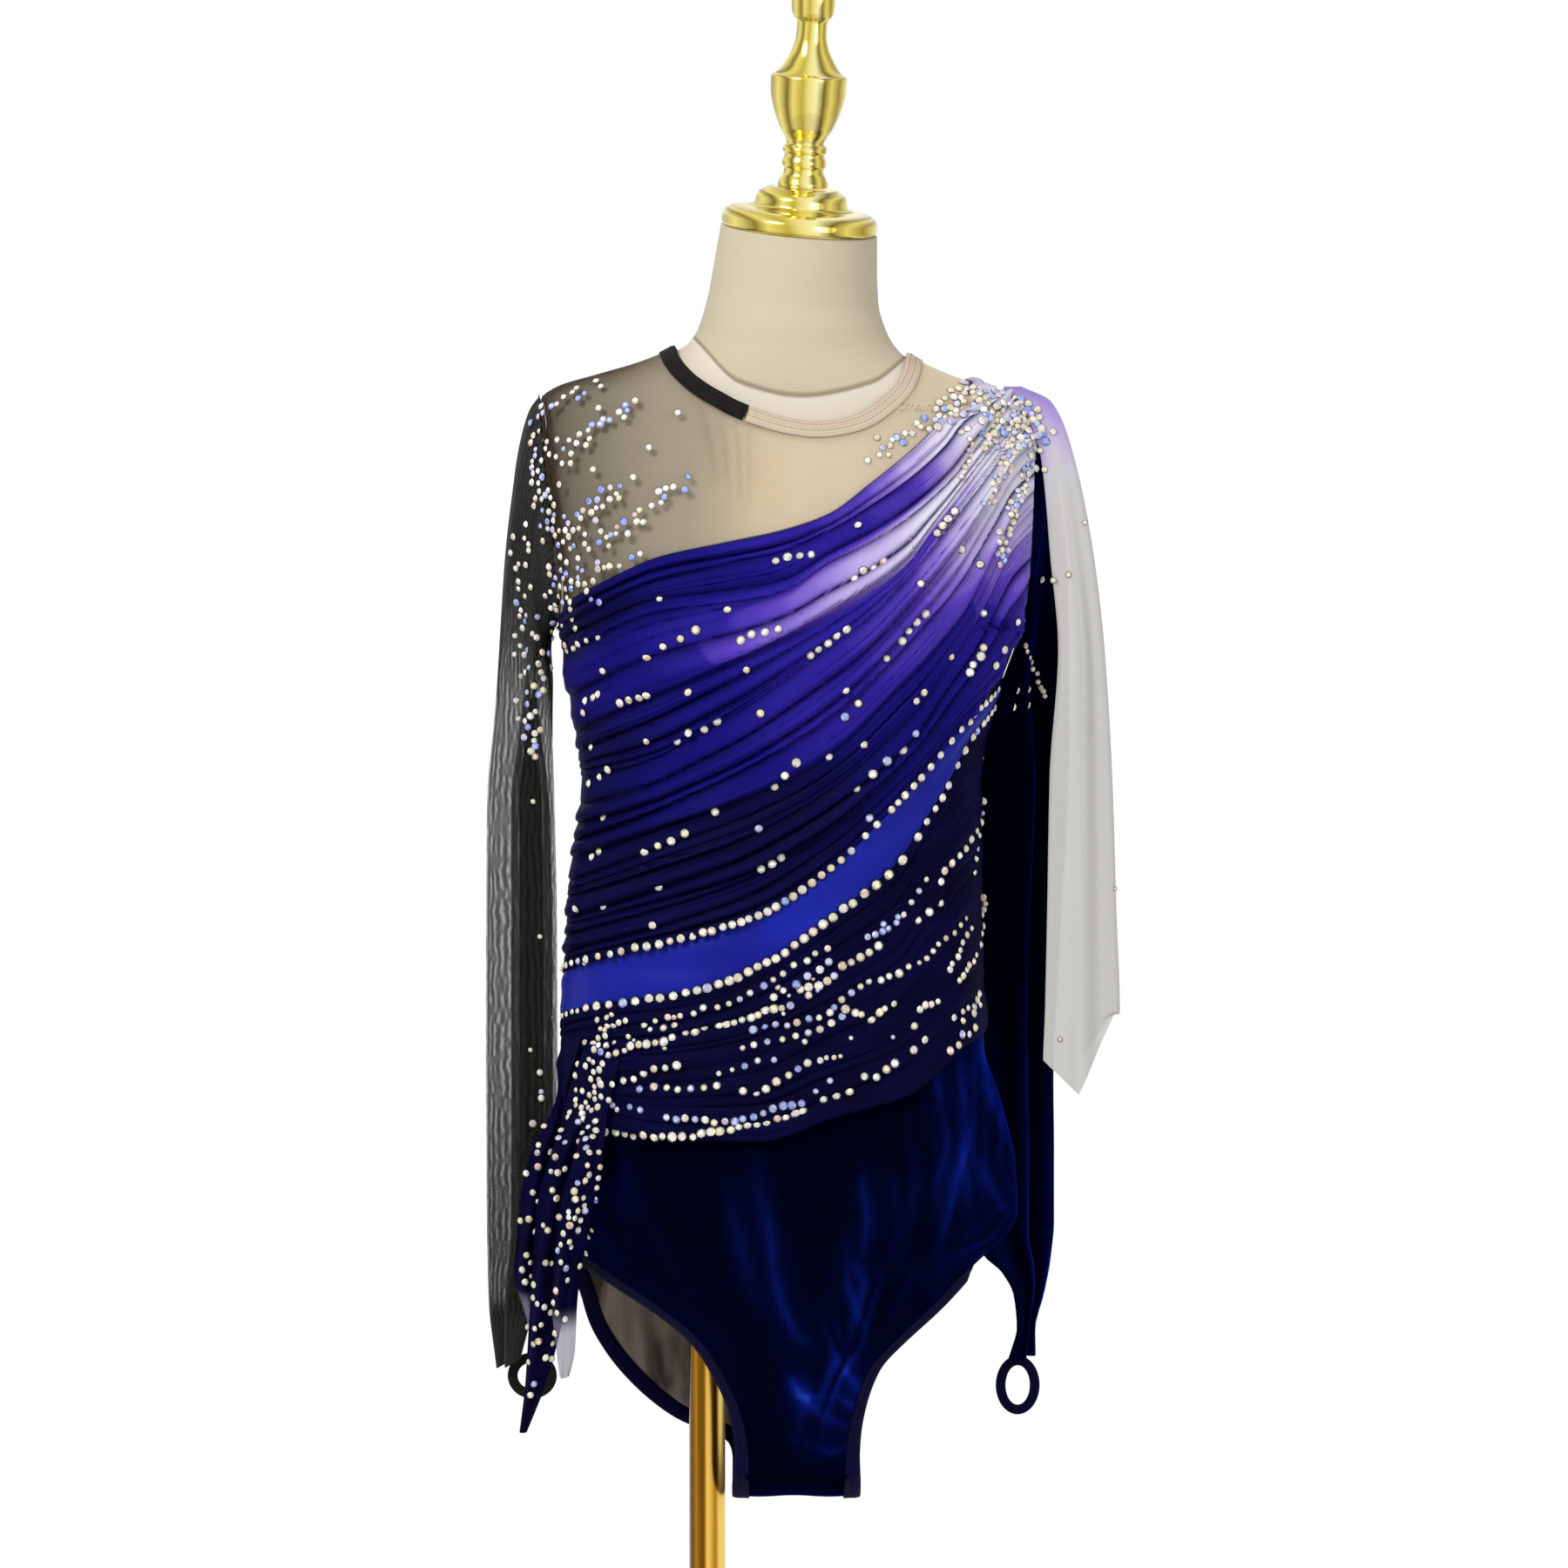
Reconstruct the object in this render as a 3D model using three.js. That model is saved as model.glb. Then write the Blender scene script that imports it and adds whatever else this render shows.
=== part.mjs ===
// A long-sleeved figure skating dress (a leotard with a draped front, one sheer and one velvet sleeve,
// a shoulder streamer and three hip tails) worn by a limbless dress form on a round-footed pole.
// Millimetres, +Z up, front towards -Y. The origin is the centre of the foot's underside, on the pole's axis.
import * as THREE from "three";

// ---------------------------------------------------------------- driving sizes
const CLOTH = 1.4; // thickness of a cloth wall
const SHEER = 1.2; // thickness of a net or chiffon wall
const GAP = 0.3; // half of the gap along a seam
const COLUMNS = 14; // steps from one side seam to the other, shared by all panels so that seams match

const POLE_RADIUS = 12.5;
const FOOT_RADIUS = 155;
const FOOT_HEIGHT = 22;
const FORM_BOTTOM = 757;
const FORM_TOP = 1432;
const LEAN = 0.085; // sideways lean of the form, as a slope
const NOD = 0.15; // forward slope of the form's neck cap
const SHOULDER_TILT = 0.03; // the right shoulder sits lower than the left one

const UNDERARM = 1160;
const SHOULDER_TIP = 1316;
const ARMHOLE_LOW = 157; // half the distance between the armholes at the underarm
const ARMHOLE_HIGH = 169; // and at the shoulder tip

const NECKLINE_SIDE = 1346;
const NECKLINE_FRONT = 1294;
const NECKLINE_BACK = 1337;
const BACK_YOKE_SEAM = 1222;
const SIDE_SEAM_LOW = 760;
const LEG_ARC = 718;
const CROTCH_FRONT = 578;
const CROTCH_BACK = 592;
const CROTCH_LOW = 558;

const UPPER_PLEATS = 18;
const LOWER_PLEATS = 7;

// ---------------------------------------------------------------- small helpers
const lerp = (a, b, t) => a + (b - a) * t;
const clamp = (v, low, high) => Math.min(high, Math.max(low, v));
const smooth = (a, b, v) => {
  const t = clamp((v - a) / (b - a), 0, 1);
  return t * t * (3 - 2 * t);
};
const radians = THREE.MathUtils.degToRad;

// A smooth curve through the points of two lists, rising or falling only where they do.
function curveThrough(xs, ys) {
  const steps = xs.slice(1).map((x, i) => (ys[i + 1] - ys[i]) / (x - xs[i]));
  const slopes = ys.map((_, i) => {
    if (i === 0) return steps[0];
    if (i === ys.length - 1) return steps[i - 1];
    const [before, after] = [steps[i - 1], steps[i]];
    return before * after <= 0 ? 0 : (2 * before * after) / (before + after);
  });
  return (x) => {
    let i = 0;
    while (i < xs.length - 2 && x > xs[i + 1]) i += 1;
    const width = xs[i + 1] - xs[i];
    const t = clamp((x - xs[i]) / width, 0, 1);
    const [t2, t3] = [t * t, t * t * t];
    return (
      ys[i] * (2 * t3 - 3 * t2 + 1) +
      slopes[i] * width * (t3 - 2 * t2 + t) +
      ys[i + 1] * (3 * t2 - 2 * t3) +
      slopes[i + 1] * width * (t3 - t2)
    );
  };
}

// Rows of numbers under named columns, the first of which rises, read at any value of that first column.
function table(columns, rows) {
  const keys = rows.map((row) => row[0]);
  const curves = columns.slice(1).map((_, c) => curveThrough(keys, rows.map((row) => row[c + 1])));
  return (key) => Object.fromEntries(columns.slice(1).map((name, c) => [name, curves[c](key)]));
}

// ---------------------------------------------------------------- the worn cloth's inner surface
// At each height: where the front and back pieces end at left and right, how far in front of the pole's
// axis those ends lie, how far the front and back bulge, and how square the section is.
const WORN = table(
  ["z", "frontLeft", "frontRight", "backLeft", "backRight", "frontLeftY", "frontRightY",
    "backLeftY", "backRightY", "front", "back", "square"],
  [
    [570, 27, 97, 30, 97, -43, -43, 43, 43, 47, 47, 2.4],
    [590, 28, 97, 26, 97, -43, -43, 43, 43, 51, 50, 2.4],
    [606, 27, 98, -14, 98, -45, -45, 45, 45, 56, 55, 2.4],
    [628, 22, 102, -43, 101, -47, -47, 48, 46, 62, 61, 2.4],
    [656, 9, 112, -66, 110, -49, -50, 44, 44, 69, 69, 2.3],
    [676, -5, 130, -76, 127, -48, -50, 38, 40, 75, 74, 2.2],
    [700, -36, 156, -82, 154, -41, -46, 25, 30, 81, 80, 2.2],
    [716, -64, 172, -87, 171, -26, -40, 12, 16, 86, 84, 2.2],
    [730, -86, 188, -89, 187, -7, -32, 3, 0, 89, 87, 2.1],
    [745, -90, 206, -90, 206, -2, -21, -2, -19, 92, 89, 2.1],
    [760, -91, 213, -91, 213, -1, -16, -1, -16, 93, 89, 2.1],
    [790, -92, 212, -92, 212, 0, -12, 0, -12, 94, 90, 2.1],
    [830, -95, 203, -95, 203, 0, -6, 0, -6, 94, 91, 2.1],
    [873, -99, 190, -99, 190, 0, 0, 0, 0, 92, 90, 2.2],
    [933, -96, 189, -96, 189, 0, 0, 0, 0, 86, 83, 2.2],
    [993, -92, 187, -92, 187, 0, 0, 0, 0, 84, 79, 2.2],
    [1053, -84, 187, -84, 187, 0, 0, 0, 0, 90, 81, 2.2],
    [1113, -92, 198, -92, 198, 0, 0, 0, 0, 101, 86, 2.2],
    [1160, -99, 214, -99, 214, 0, 0, 0, 0, 105, 90, 2.3],
    [1200, -107, 226, -107, 226, 0, 0, 0, 0, 100, 92, 2.5],
    [1240, -113, 230, -113, 230, 0, 0, 0, 0, 89, 91, 2.7],
    [1280, -117, 231, -117, 231, 0, 0, 0, 0, 77, 84, 2.8],
    [1300, -117, 230, -117, 230, 0, 0, 0, 0, 70, 78, 2.7],
    [1312, -112, 226, -112, 226, 0, 0, 0, 0, 66, 73, 2.6],
    [1320, -101, 216, -101, 216, 0, 0, 0, 0, 63, 69, 2.5],
    [1329, -74, 188, -74, 188, 0, 0, 0, 0, 60, 65, 2.3],
    [1338, -46, 161, -46, 161, 0, 0, 0, 0, 58, 62, 2.2],
    [1346, -28, 144, -28, 144, 0, 0, 0, 0, 57, 59, 2.1],
    [1354, -19, 135, -19, 135, 0, 0, 0, 0, 56, 57, 2.0],
  ],
);

const tiltAt = (z) => SHOULDER_TILT * smooth(1150, 1300, z);
const armholeAt = (z) => lerp(ARMHOLE_LOW, ARMHOLE_HIGH, (z - UNDERARM) / (SHOULDER_TIP - UNDERARM));

// The half width, depth, centre and armhole cut of the front or back half of the section at height z.
function halfSection(z, isFront) {
  const w = WORN(z);
  const [left, right] = isFront ? [w.frontLeft, w.frontRight] : [w.backLeft, w.backRight];
  const [leftY, rightY] = isFront ? [w.frontLeftY, w.frontRightY] : [w.backLeftY, w.backRightY];
  const half = (right - left) / 2;
  const middle = (left + right) / 2;
  const depth = isFront ? w.front + (leftY + rightY) / 2 : w.back - (leftY + rightY) / 2;
  const reach = armholeAt(z);
  let widest = Math.PI / 2;
  if (z > UNDERARM - 40 && half > reach) {
    const lip = depth * (1 - (reach / half) ** w.square) ** (1 / w.square);
    widest = Math.atan2(reach, lip);
  }
  return { half, middle, depth, widest, square: w.square, leftY, rightY, cut: half - reach };
}

// A point of the worn surface. across runs from 0 at the left seam to 1 at the right seam.
// Below the side seams the section flattens to a plain arc between the two leg openings.
function wornPoint(across, z, isFront) {
  const s = halfSection(z, isFront);
  const angle = lerp(-s.widest, s.widest, across);
  const [sin, cos] = [Math.sin(angle), Math.cos(angle)];
  const radius = (Math.abs(sin / s.half) ** s.square + Math.abs(cos / s.depth) ** s.square) ** (-1 / s.square);
  const flat = 1 - smooth(LEG_ARC, SIDE_SEAM_LOW, z);
  const evenly = 2 * across - 1;
  const side = lerp(radius * sin, s.half * evenly, flat);
  const bulge = lerp(radius * cos, s.depth * (1 - Math.abs(evenly) ** 2.2), flat);
  const endY = lerp(s.leftY, s.rightY, clamp(0.5 + (0.5 * side) / s.half, 0, 1));
  return new THREE.Vector3(s.middle + side, isFront ? endY - bulge : endY + bulge, z - tiltAt(z) * side);
}

// The outward direction there. Along an armhole it stays in the armhole's own plane, so that the sleeve meets it flat.
function wornNormal(across, z, isFront) {
  const step = 0.004;
  const low = clamp(across - step, 0, 1);
  const high = clamp(across + step, 0, 1);
  const sideways = wornPoint(high, z, isFront).sub(wornPoint(low, z, isFront));
  const upwards = wornPoint(across, z + 1, isFront).sub(wornPoint(across, z - 1, isFront));
  const normal = sideways.cross(upwards).multiplyScalar(isFront ? 1 : -1).normalize();
  const { cut } = halfSection(z, isFront);
  const isArmhole = z > UNDERARM - 20 ? clamp(cut / 2, 0, 1) : 0;
  const isEdge = smooth(0.84, 1, Math.abs(2 * across - 1));
  const isSideSeam = z > 740 ? 1 - isArmhole : 0;
  normal.x *= 1 - isArmhole * isEdge;
  normal.y *= 1 - isSideSeam * isEdge;
  return normal.normalize();
}

// The share of the way across the front at which the surface passes x at height z.
function shareAt(x, z) {
  const s = halfSection(z, true);
  const side = clamp((x - s.middle) / s.half, -0.999, 0.999);
  const lip = s.depth * (1 - Math.abs(side) ** s.square) ** (1 / s.square);
  return 0.5 + (0.5 * Math.atan2(side * s.half, lip)) / s.widest;
}

// Turns a seam drawn as [x, z] points, seen from the front, into a height for each share of the way across.
function seamHeight(leftZ, drawn, rightZ) {
  const shares = drawn.map(([x, z]) => shareAt(x, z));
  return curveThrough([0, ...shares, 1], [leftZ, ...drawn.map((p) => p[1]), rightZ]);
}

const neckFront = (across) =>
  lerp(NECKLINE_SIDE, NECKLINE_FRONT, Math.abs(Math.sin(Math.PI * across)) ** 1.5);
const neckBack = (across) => lerp(NECKLINE_SIDE, NECKLINE_BACK, Math.sin(Math.PI * across));
const drapeTop = seamHeight(
  1170,
  [[-63, 1196], [-28, 1211], [13, 1220], [53, 1231], [83, 1240], [112, 1262], [135, 1281], [161, 1307]],
  1333,
);
const bandTop = seamHeight(
  921,
  [[-63, 940], [-11, 954], [42, 972], [88, 1004], [117, 1033], [147, 1065], [176, 1100]],
  1127,
);
const bandBottom = seamHeight(
  891,
  [[-63, 909], [-11, 919], [42, 940], [88, 972], [129, 1004], [150, 1036], [164, 1059], [178, 1088]],
  1120,
);
const drapeHem = seamHeight(
  822,
  [[-69, 826], [-28, 822], [36, 822], [88, 838], [135, 850], [153, 862], [173, 880]],
  890,
);

// ---------------------------------------------------------------- closed solids
// A closed mesh from points and triangles, turned so that its faces point out.
function solid(name, points, triangles, material) {
  const [a, b, c] = [new THREE.Vector3(), new THREE.Vector3(), new THREE.Vector3()];
  const volume = triangles.reduce((sum, [i, j, k]) => {
    a.copy(points[i]);
    b.copy(points[j]);
    c.copy(points[k]);
    return sum + a.dot(b.cross(c));
  }, 0);
  const faces = volume < 0 ? triangles.map(([i, j, k]) => [i, k, j]) : triangles;
  const geometry = new THREE.BufferGeometry().setFromPoints(points);
  geometry.setIndex(faces.flat());
  geometry.computeVertexNormals();
  const mesh = new THREE.Mesh(geometry, material);
  mesh.name = name;
  return mesh;
}

// A wall between two grids of points, [row][column]. A ring closes each row on itself.
function wall(name, inner, outer, isRing, material) {
  const rows = inner.length;
  const columns = inner[0].length;
  const points = [...inner.flat(), ...outer.flat()];
  const at = (layer, r, c) => layer * rows * columns + r * columns + (c % columns);
  const triangles = [];
  const quad = (p, q, r, s) => triangles.push([p, q, r], [p, r, s]);
  const last = isRing ? columns : columns - 1;
  for (let r = 0; r < rows - 1; r += 1) {
    for (let c = 0; c < last; c += 1) {
      quad(at(1, r, c), at(1, r, c + 1), at(1, r + 1, c + 1), at(1, r + 1, c));
      quad(at(0, r, c), at(0, r + 1, c), at(0, r + 1, c + 1), at(0, r, c + 1));
    }
  }
  for (let c = 0; c < last; c += 1) {
    quad(at(0, 0, c), at(0, 0, c + 1), at(1, 0, c + 1), at(1, 0, c));
    quad(at(0, rows - 1, c), at(1, rows - 1, c), at(1, rows - 1, c + 1), at(0, rows - 1, c + 1));
  }
  for (let r = 0; !isRing && r < rows - 1; r += 1) {
    quad(at(0, r, 0), at(1, r, 0), at(1, r + 1, 0), at(0, r + 1, 0));
    const c = columns - 1;
    quad(at(0, r, c), at(0, r + 1, c), at(1, r + 1, c), at(1, r, c));
  }
  return solid(name, points, triangles, material);
}

// Stacked rings of points, closed at both ends by a fan.
function stacked(name, rings, material) {
  const columns = rings[0].length;
  const points = rings.flat();
  const centre = (ring) =>
    ring.reduce((sum, p) => sum.add(p), new THREE.Vector3()).divideScalar(ring.length);
  const triangles = [];
  for (let r = 0; r < rings.length - 1; r += 1) {
    for (let c = 0; c < columns; c += 1) {
      const [p, q] = [r * columns + c, r * columns + ((c + 1) % columns)];
      triangles.push([p, q, q + columns], [p, q + columns, p + columns]);
    }
  }
  [0, rings.length - 1].forEach((r) => {
    const middle = points.push(centre(rings[r])) - 1;
    for (let c = 0; c < columns; c += 1) {
      const [p, q] = [r * columns + c, r * columns + ((c + 1) % columns)];
      triangles.push(r === 0 ? [middle, q, p] : [middle, p, q]);
    }
  });
  return solid(name, points, triangles, material);
}

// The direction square to a free sheet, given as a function of two shares.
function sheetNormal(point, u, v) {
  const step = 0.002;
  const along = point(clamp(u + step, 0, 1), v).sub(point(clamp(u - step, 0, 1), v));
  const down = point(u, clamp(v + step, 0, 1)).sub(point(u, clamp(v - step, 0, 1)));
  return along.cross(down).normalize();
}

// A free sheet of cloth with a thickness.
function sheet(name, point, rows, columns, thickness, material) {
  const grid = (offset) =>
    Array.from({ length: rows + 1 }, (_, r) =>
      Array.from({ length: columns + 1 }, (_, c) => {
        const [u, v] = [c / columns, r / rows];
        return point(u, v).addScaledVector(sheetNormal(point, u, v), offset);
      }),
    );
  return wall(name, grid(-thickness / 2), grid(thickness / 2), false, material);
}

// A sewn panel of the worn surface. heights(across) lists the height of each of its rows, lowest first.
// lift(across, t) raises both faces of the cloth, where t runs from 0 at the low edge to 1 at the high one.
const PANEL_GRIDS = {};
function panel(name, { isFront, heights, lift, thickness, material }) {
  const shares = Array.from({ length: COLUMNS + 1 }, (_, c) => c / COLUMNS);
  const columns = shares.map((across) => heights(across));
  const rows = columns[0].length;
  const grid = (offset) =>
    Array.from({ length: rows }, (_, r) =>
      shares.map((across, c) => {
        const z = columns[c][r];
        const raised = offset + (lift ? lift(across, r / (rows - 1)) : 0);
        const point = wornPoint(across, z, isFront);
        point.addScaledVector(wornNormal(across, z, isFront), raised);
        const atSide = smooth(0.9, 1, Math.abs(2 * across - 1));
        point.y += (isFront ? -GAP : GAP) * atSide;
        return point;
      }),
    );
  PANEL_GRIDS[name] = { inner: grid(0), outer: grid(thickness) };
  return wall(name, PANEL_GRIDS[name].inner, PANEL_GRIDS[name].outer, false, material);
}

// Heights between two seams, a gap inside each, at the given shares of the way up.
const between = (low, high, shares) => (across) =>
  shares.map((share) => lerp(low(across) + GAP, high(across) - GAP, share));
const evenly = (count) => Array.from({ length: count + 1 }, (_, i) => i / count);

// ---------------------------------------------------------------- materials
const finish = (color, roughness, metalness = 0, opacity = 1) =>
  new THREE.MeshStandardMaterial({ color, roughness, metalness, opacity, transparent: opacity < 1 });
const GOLD = finish(0xd8b44a, 0.18, 1);
const POLE_GOLD = finish(0xb98a2e, 0.25, 1);
const FORM_COVER = finish(0xe3d9c2, 0.85);
const VELVET = finish(0x05063a, 0.8);
const DRAPE = finish(0x2c1f9a, 0.6);
const NAVY_DRAPE = finish(0x0b0838, 0.6);
const BAND = finish(0x17259c, 0.45);
const NET = finish(0x6b6152, 0.7, 0, 0.6);
const BLACK_NET = finish(0x151413, 0.7, 0, 0.7);
const BLACK_ELASTIC = finish(0x0a0a0a, 0.6);
const NUDE_ELASTIC = finish(0xcdbba6, 0.7);
const NAVY_ELASTIC = finish(0x05042c, 0.6);
const WHITE_CHIFFON = finish(0xd9d7db, 0.7, 0, 0.85);

const part = new THREE.Group();
part.name = "figure_skating_dress_on_form";

// ---------------------------------------------------------------- stand and form
// A turned piece: its profile is [radius, height] pairs from the foot of the axis to its head.
function turned(name, profile, segments, material) {
  const outline = profile.map(([radius, height]) => new THREE.Vector2(radius, height));
  const mesh = new THREE.Mesh(new THREE.LatheGeometry(outline, segments), material);
  mesh.name = name;
  mesh.geometry.rotateX(Math.PI / 2);
  return mesh;
}

part.add(
  turned(
    "stand_foot",
    [
      [0, 0], [FOOT_RADIUS - 2, 0], [FOOT_RADIUS, 2], [FOOT_RADIUS, 7], [FOOT_RADIUS - 4, 10],
      [60, 14], [24, 17], [POLE_RADIUS + 5, FOOT_HEIGHT], [0, FOOT_HEIGHT],
    ],
    36,
    GOLD,
  ),
);
const poleHeight = FORM_BOTTOM - FOOT_HEIGHT - 2 * GAP;
const pole = new THREE.Mesh(new THREE.CylinderGeometry(POLE_RADIUS, POLE_RADIUS, poleHeight, 20), POLE_GOLD);
pole.name = "stand_pole";
pole.rotation.x = Math.PI / 2;
pole.position.z = FOOT_HEIGHT + GAP + poleHeight / 2;
part.add(pole);

// The form, in sections: its left and right ends, its bulge in front and behind, and how square it is.
const FORM = table(
  ["z", "left", "right", "front", "back", "square"],
  [
    [FORM_BOTTOM, -62, 70, 58, 56, 2.1],
    [764, -76, 84, 68, 66, 2.1],
    [790, -84, 98, 77, 75, 2.1],
    [830, -88, 109, 82, 80, 2.2],
    [873, -92, 120, 84, 82, 2.2],
    [933, -88, 126, 78, 76, 2.2],
    [993, -82, 130, 76, 72, 2.2],
    [1053, -78, 137, 82, 75, 2.2],
    [1113, -86, 160, 92, 80, 2.2],
    [1160, -91.5, 180, 97, 83.5, 2.3],
    [1200, -100, 195, 94, 87, 2.5],
    [1240, -105, 207, 84, 87, 2.7],
    [1280, -109, 217, 73, 80, 2.8],
    [1300, -109, 216, 65.5, 73.5, 2.7],
    [1311, -107, 214, 61.6, 69, 2.6],
    [1319, -99, 209.5, 59.5, 66, 2.5],
    [1328, -74, 188, 58, 63, 2.3],
    [1337, -46, 161, 56, 60, 2.2],
    [1345, -25, 141, 54.5, 57, 2.1],
    [1353, -12, 131, 53.5, 55, 2.0],
    [1364, -5, 124, 53, 53, 2.0],
    [1385, 1.5, 118, 51, 51, 2.0],
    [1408, 6, 117, 51, 51, 2.0],
    [FORM_TOP, 10.5, 117, 50, 50, 2.0],
  ],
);
const FORM_LEVELS = [
  FORM_BOTTOM, 762, 775, 800, 840, 885, 945, 1000, 1055, 1110, 1155, 1195, 1235, 1270, 1292, 1306, 1315,
  1322, 1329, 1337, 1345, 1354, 1368, 1395, FORM_TOP,
];
const formCentre = (z) => (FORM(z).left + FORM(z).right) / 2;
const neckShare = (z) => smooth(1352, FORM_TOP, z);

function formPoint(z, angle) {
  const f = FORM(z);
  const half = (f.right - f.left) / 2;
  const depth = Math.cos(angle) > 0 ? f.front : f.back;
  const [sin, cos] = [Math.sin(angle), Math.cos(angle)];
  const radius = (Math.abs(sin / half) ** f.square + Math.abs(cos / depth) ** f.square) ** (-1 / f.square);
  const [x, y] = [radius * sin, -radius * cos];
  const drop = lerp(tiltAt(z), LEAN, neckShare(z)) * x - NOD * neckShare(z) * y;
  return new THREE.Vector3(formCentre(z) + x, y, z - drop);
}
const FORM_AROUND = 2 * COLUMNS;
part.add(
  stacked(
    "form_body",
    FORM_LEVELS.map((z) =>
      Array.from({ length: FORM_AROUND }, (_, i) => formPoint(z, (2 * Math.PI * i) / FORM_AROUND)),
    ),
    FORM_COVER,
  ),
);

// The neck cap and its turned finial share one leaning axis.
const neckTop = new THREE.Group();
neckTop.position.set(formCentre(FORM_TOP), 0, FORM_TOP + GAP);
neckTop.rotation.set(Math.atan(NOD), Math.atan(LEAN), 0);
const CAP_HEIGHT = 29;
const FINIAL_SET_BACK = 0.028; // the finial leans a little less than the cap
neckTop.add(
  turned(
    "neck_cap",
    [
      [0, 0], [51, 0], [53.5, 3], [53, 8], [49, 12.5], [36, 15], [32, 17], [31, 22],
      [27, 26.5], [20, CAP_HEIGHT], [0, CAP_HEIGHT],
    ],
    28,
    GOLD,
  ),
);
const finial = turned(
  "finial",
  [
    [0, 0], [17, 0], [16, 5], [13.5, 12], [14.7, 16], [14.7, 20], [13.6, 22], [14.7, 25], [12.8, 29],
    [18.3, 40], [23.1, 52], [25.8, 65], [26, 73.5], [24, 75.5], [17.5, 83], [13, 91.5], [10.4, 102],
    [10.2, 110.5], [13, 114.5], [14.8, 125], [13, 134], [7.5, 139.5], [0, 141],
  ],
  20,
  GOLD,
);
finial.rotation.y = -FINIAL_SET_BACK;
finial.position.z = CAP_HEIGHT + GAP + 17 * FINIAL_SET_BACK;
neckTop.add(finial);
part.add(neckTop);

// ---------------------------------------------------------------- front panels
// Three rows make one pleat, steep below and gentle above, and no two pleats are quite alike.
const FOLD_SHAPE = [0, 1, 0.55];
function pleats(count, height) {
  return (across, t) => {
    const row = Math.round(t * count * FOLD_SHAPE.length);
    const fold = Math.floor(row / FOLD_SHAPE.length);
    const uneven = 0.72 + 0.28 * Math.sin(2.4 * fold + 5 * across);
    const ends = lerp(0.45, 1, smooth(0, 0.12, across)) * lerp(0.5, 1, smooth(0, 0.14, 1 - across));
    return height * uneven * ends * FOLD_SHAPE[row % FOLD_SHAPE.length];
  };
}

const YOKE_SHARES = [0, 0.14, 0.28, 0.42, 0.55, 0.66, 0.75, 0.82, 0.87, 0.91, 0.955, 1];
const BRIEF_LEVELS = [
  CROTCH_FRONT, 592, 606, 626, 650, 674, 698, 714, 728, 742, 758, 778,
];
const BACK_LEVELS = [
  CROTCH_BACK, 606, 626, 650, 674, 698, 714, 728, 742, 758, 778, 815, 855, 900, 950, 1000, 1050,
  1100, 1145, 1185, BACK_YOKE_SEAM - GAP,
];
const CORE_LEVEL = BRIEF_LEVELS[BRIEF_LEVELS.length - 1];

part.add(
  panel("yoke_front", {
    isFront: true, heights: between(drapeTop, neckFront, YOKE_SHARES), thickness: SHEER, material: NET,
  }),
  panel("drape_upper", {
    isFront: true,
    // The pleats fan out from the shoulder, where they crowd together.
    heights: (across) => {
      const fanned = evenly(UPPER_PLEATS * 3).map((t) => lerp(t, t ** 0.5, smooth(0.5, 1, across)));
      return between(bandTop, drapeTop, fanned)(across);
    },
    lift: pleats(UPPER_PLEATS, 4.6),
    thickness: CLOTH,
    material: DRAPE,
  }),
  panel("waist_band", {
    isFront: true, heights: between(bandBottom, bandTop, evenly(2)), thickness: CLOTH, material: BAND,
  }),
  panel("drape_lower", {
    isFront: true,
    heights: between(drapeHem, bandBottom, evenly(LOWER_PLEATS * 3)),
    lift: pleats(LOWER_PLEATS, 2.6),
    thickness: CLOTH,
    material: NAVY_DRAPE,
  }),
  panel("brief_front", {
    isFront: true,
    heights: (across) => [
      ...BRIEF_LEVELS,
      ...[0.35, 0.7, 1].map((share) => lerp(CORE_LEVEL, drapeHem(across) - GAP, share)),
    ],
    thickness: CLOTH,
    material: VELVET,
  }),
  panel("yoke_back", {
    isFront: false,
    heights: between(() => BACK_YOKE_SEAM, neckBack, [0, 0.2, 0.4, 0.55, 0.68, 0.77, 0.84, 0.9, 0.95, 1]),
    thickness: SHEER,
    material: NET,
  }),
  panel("body_back", { isFront: false, heights: () => BACK_LEVELS, thickness: CLOTH, material: VELVET }),
);

// ---------------------------------------------------------------- crotch gusset
const GUSSET_FRONT_Y = -45;
const GUSSET_BACK_Y = 44.5;
function gussetPoint(across, t) {
  const left = lerp(27, 26.5, t);
  const end = (t < 0.5 ? CROTCH_FRONT : CROTCH_BACK) - 4 * GAP;
  const z = lerp(CROTCH_LOW, end, Math.abs(2 * t - 1) ** 2);
  return new THREE.Vector3(lerp(left, 97, across), lerp(GUSSET_FRONT_Y, GUSSET_BACK_Y, t), z);
}
const GUSSET_ROWS = 8;
part.add(sheet("crotch_gusset", gussetPoint, GUSSET_ROWS, 5, CLOTH, VELVET));

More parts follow.
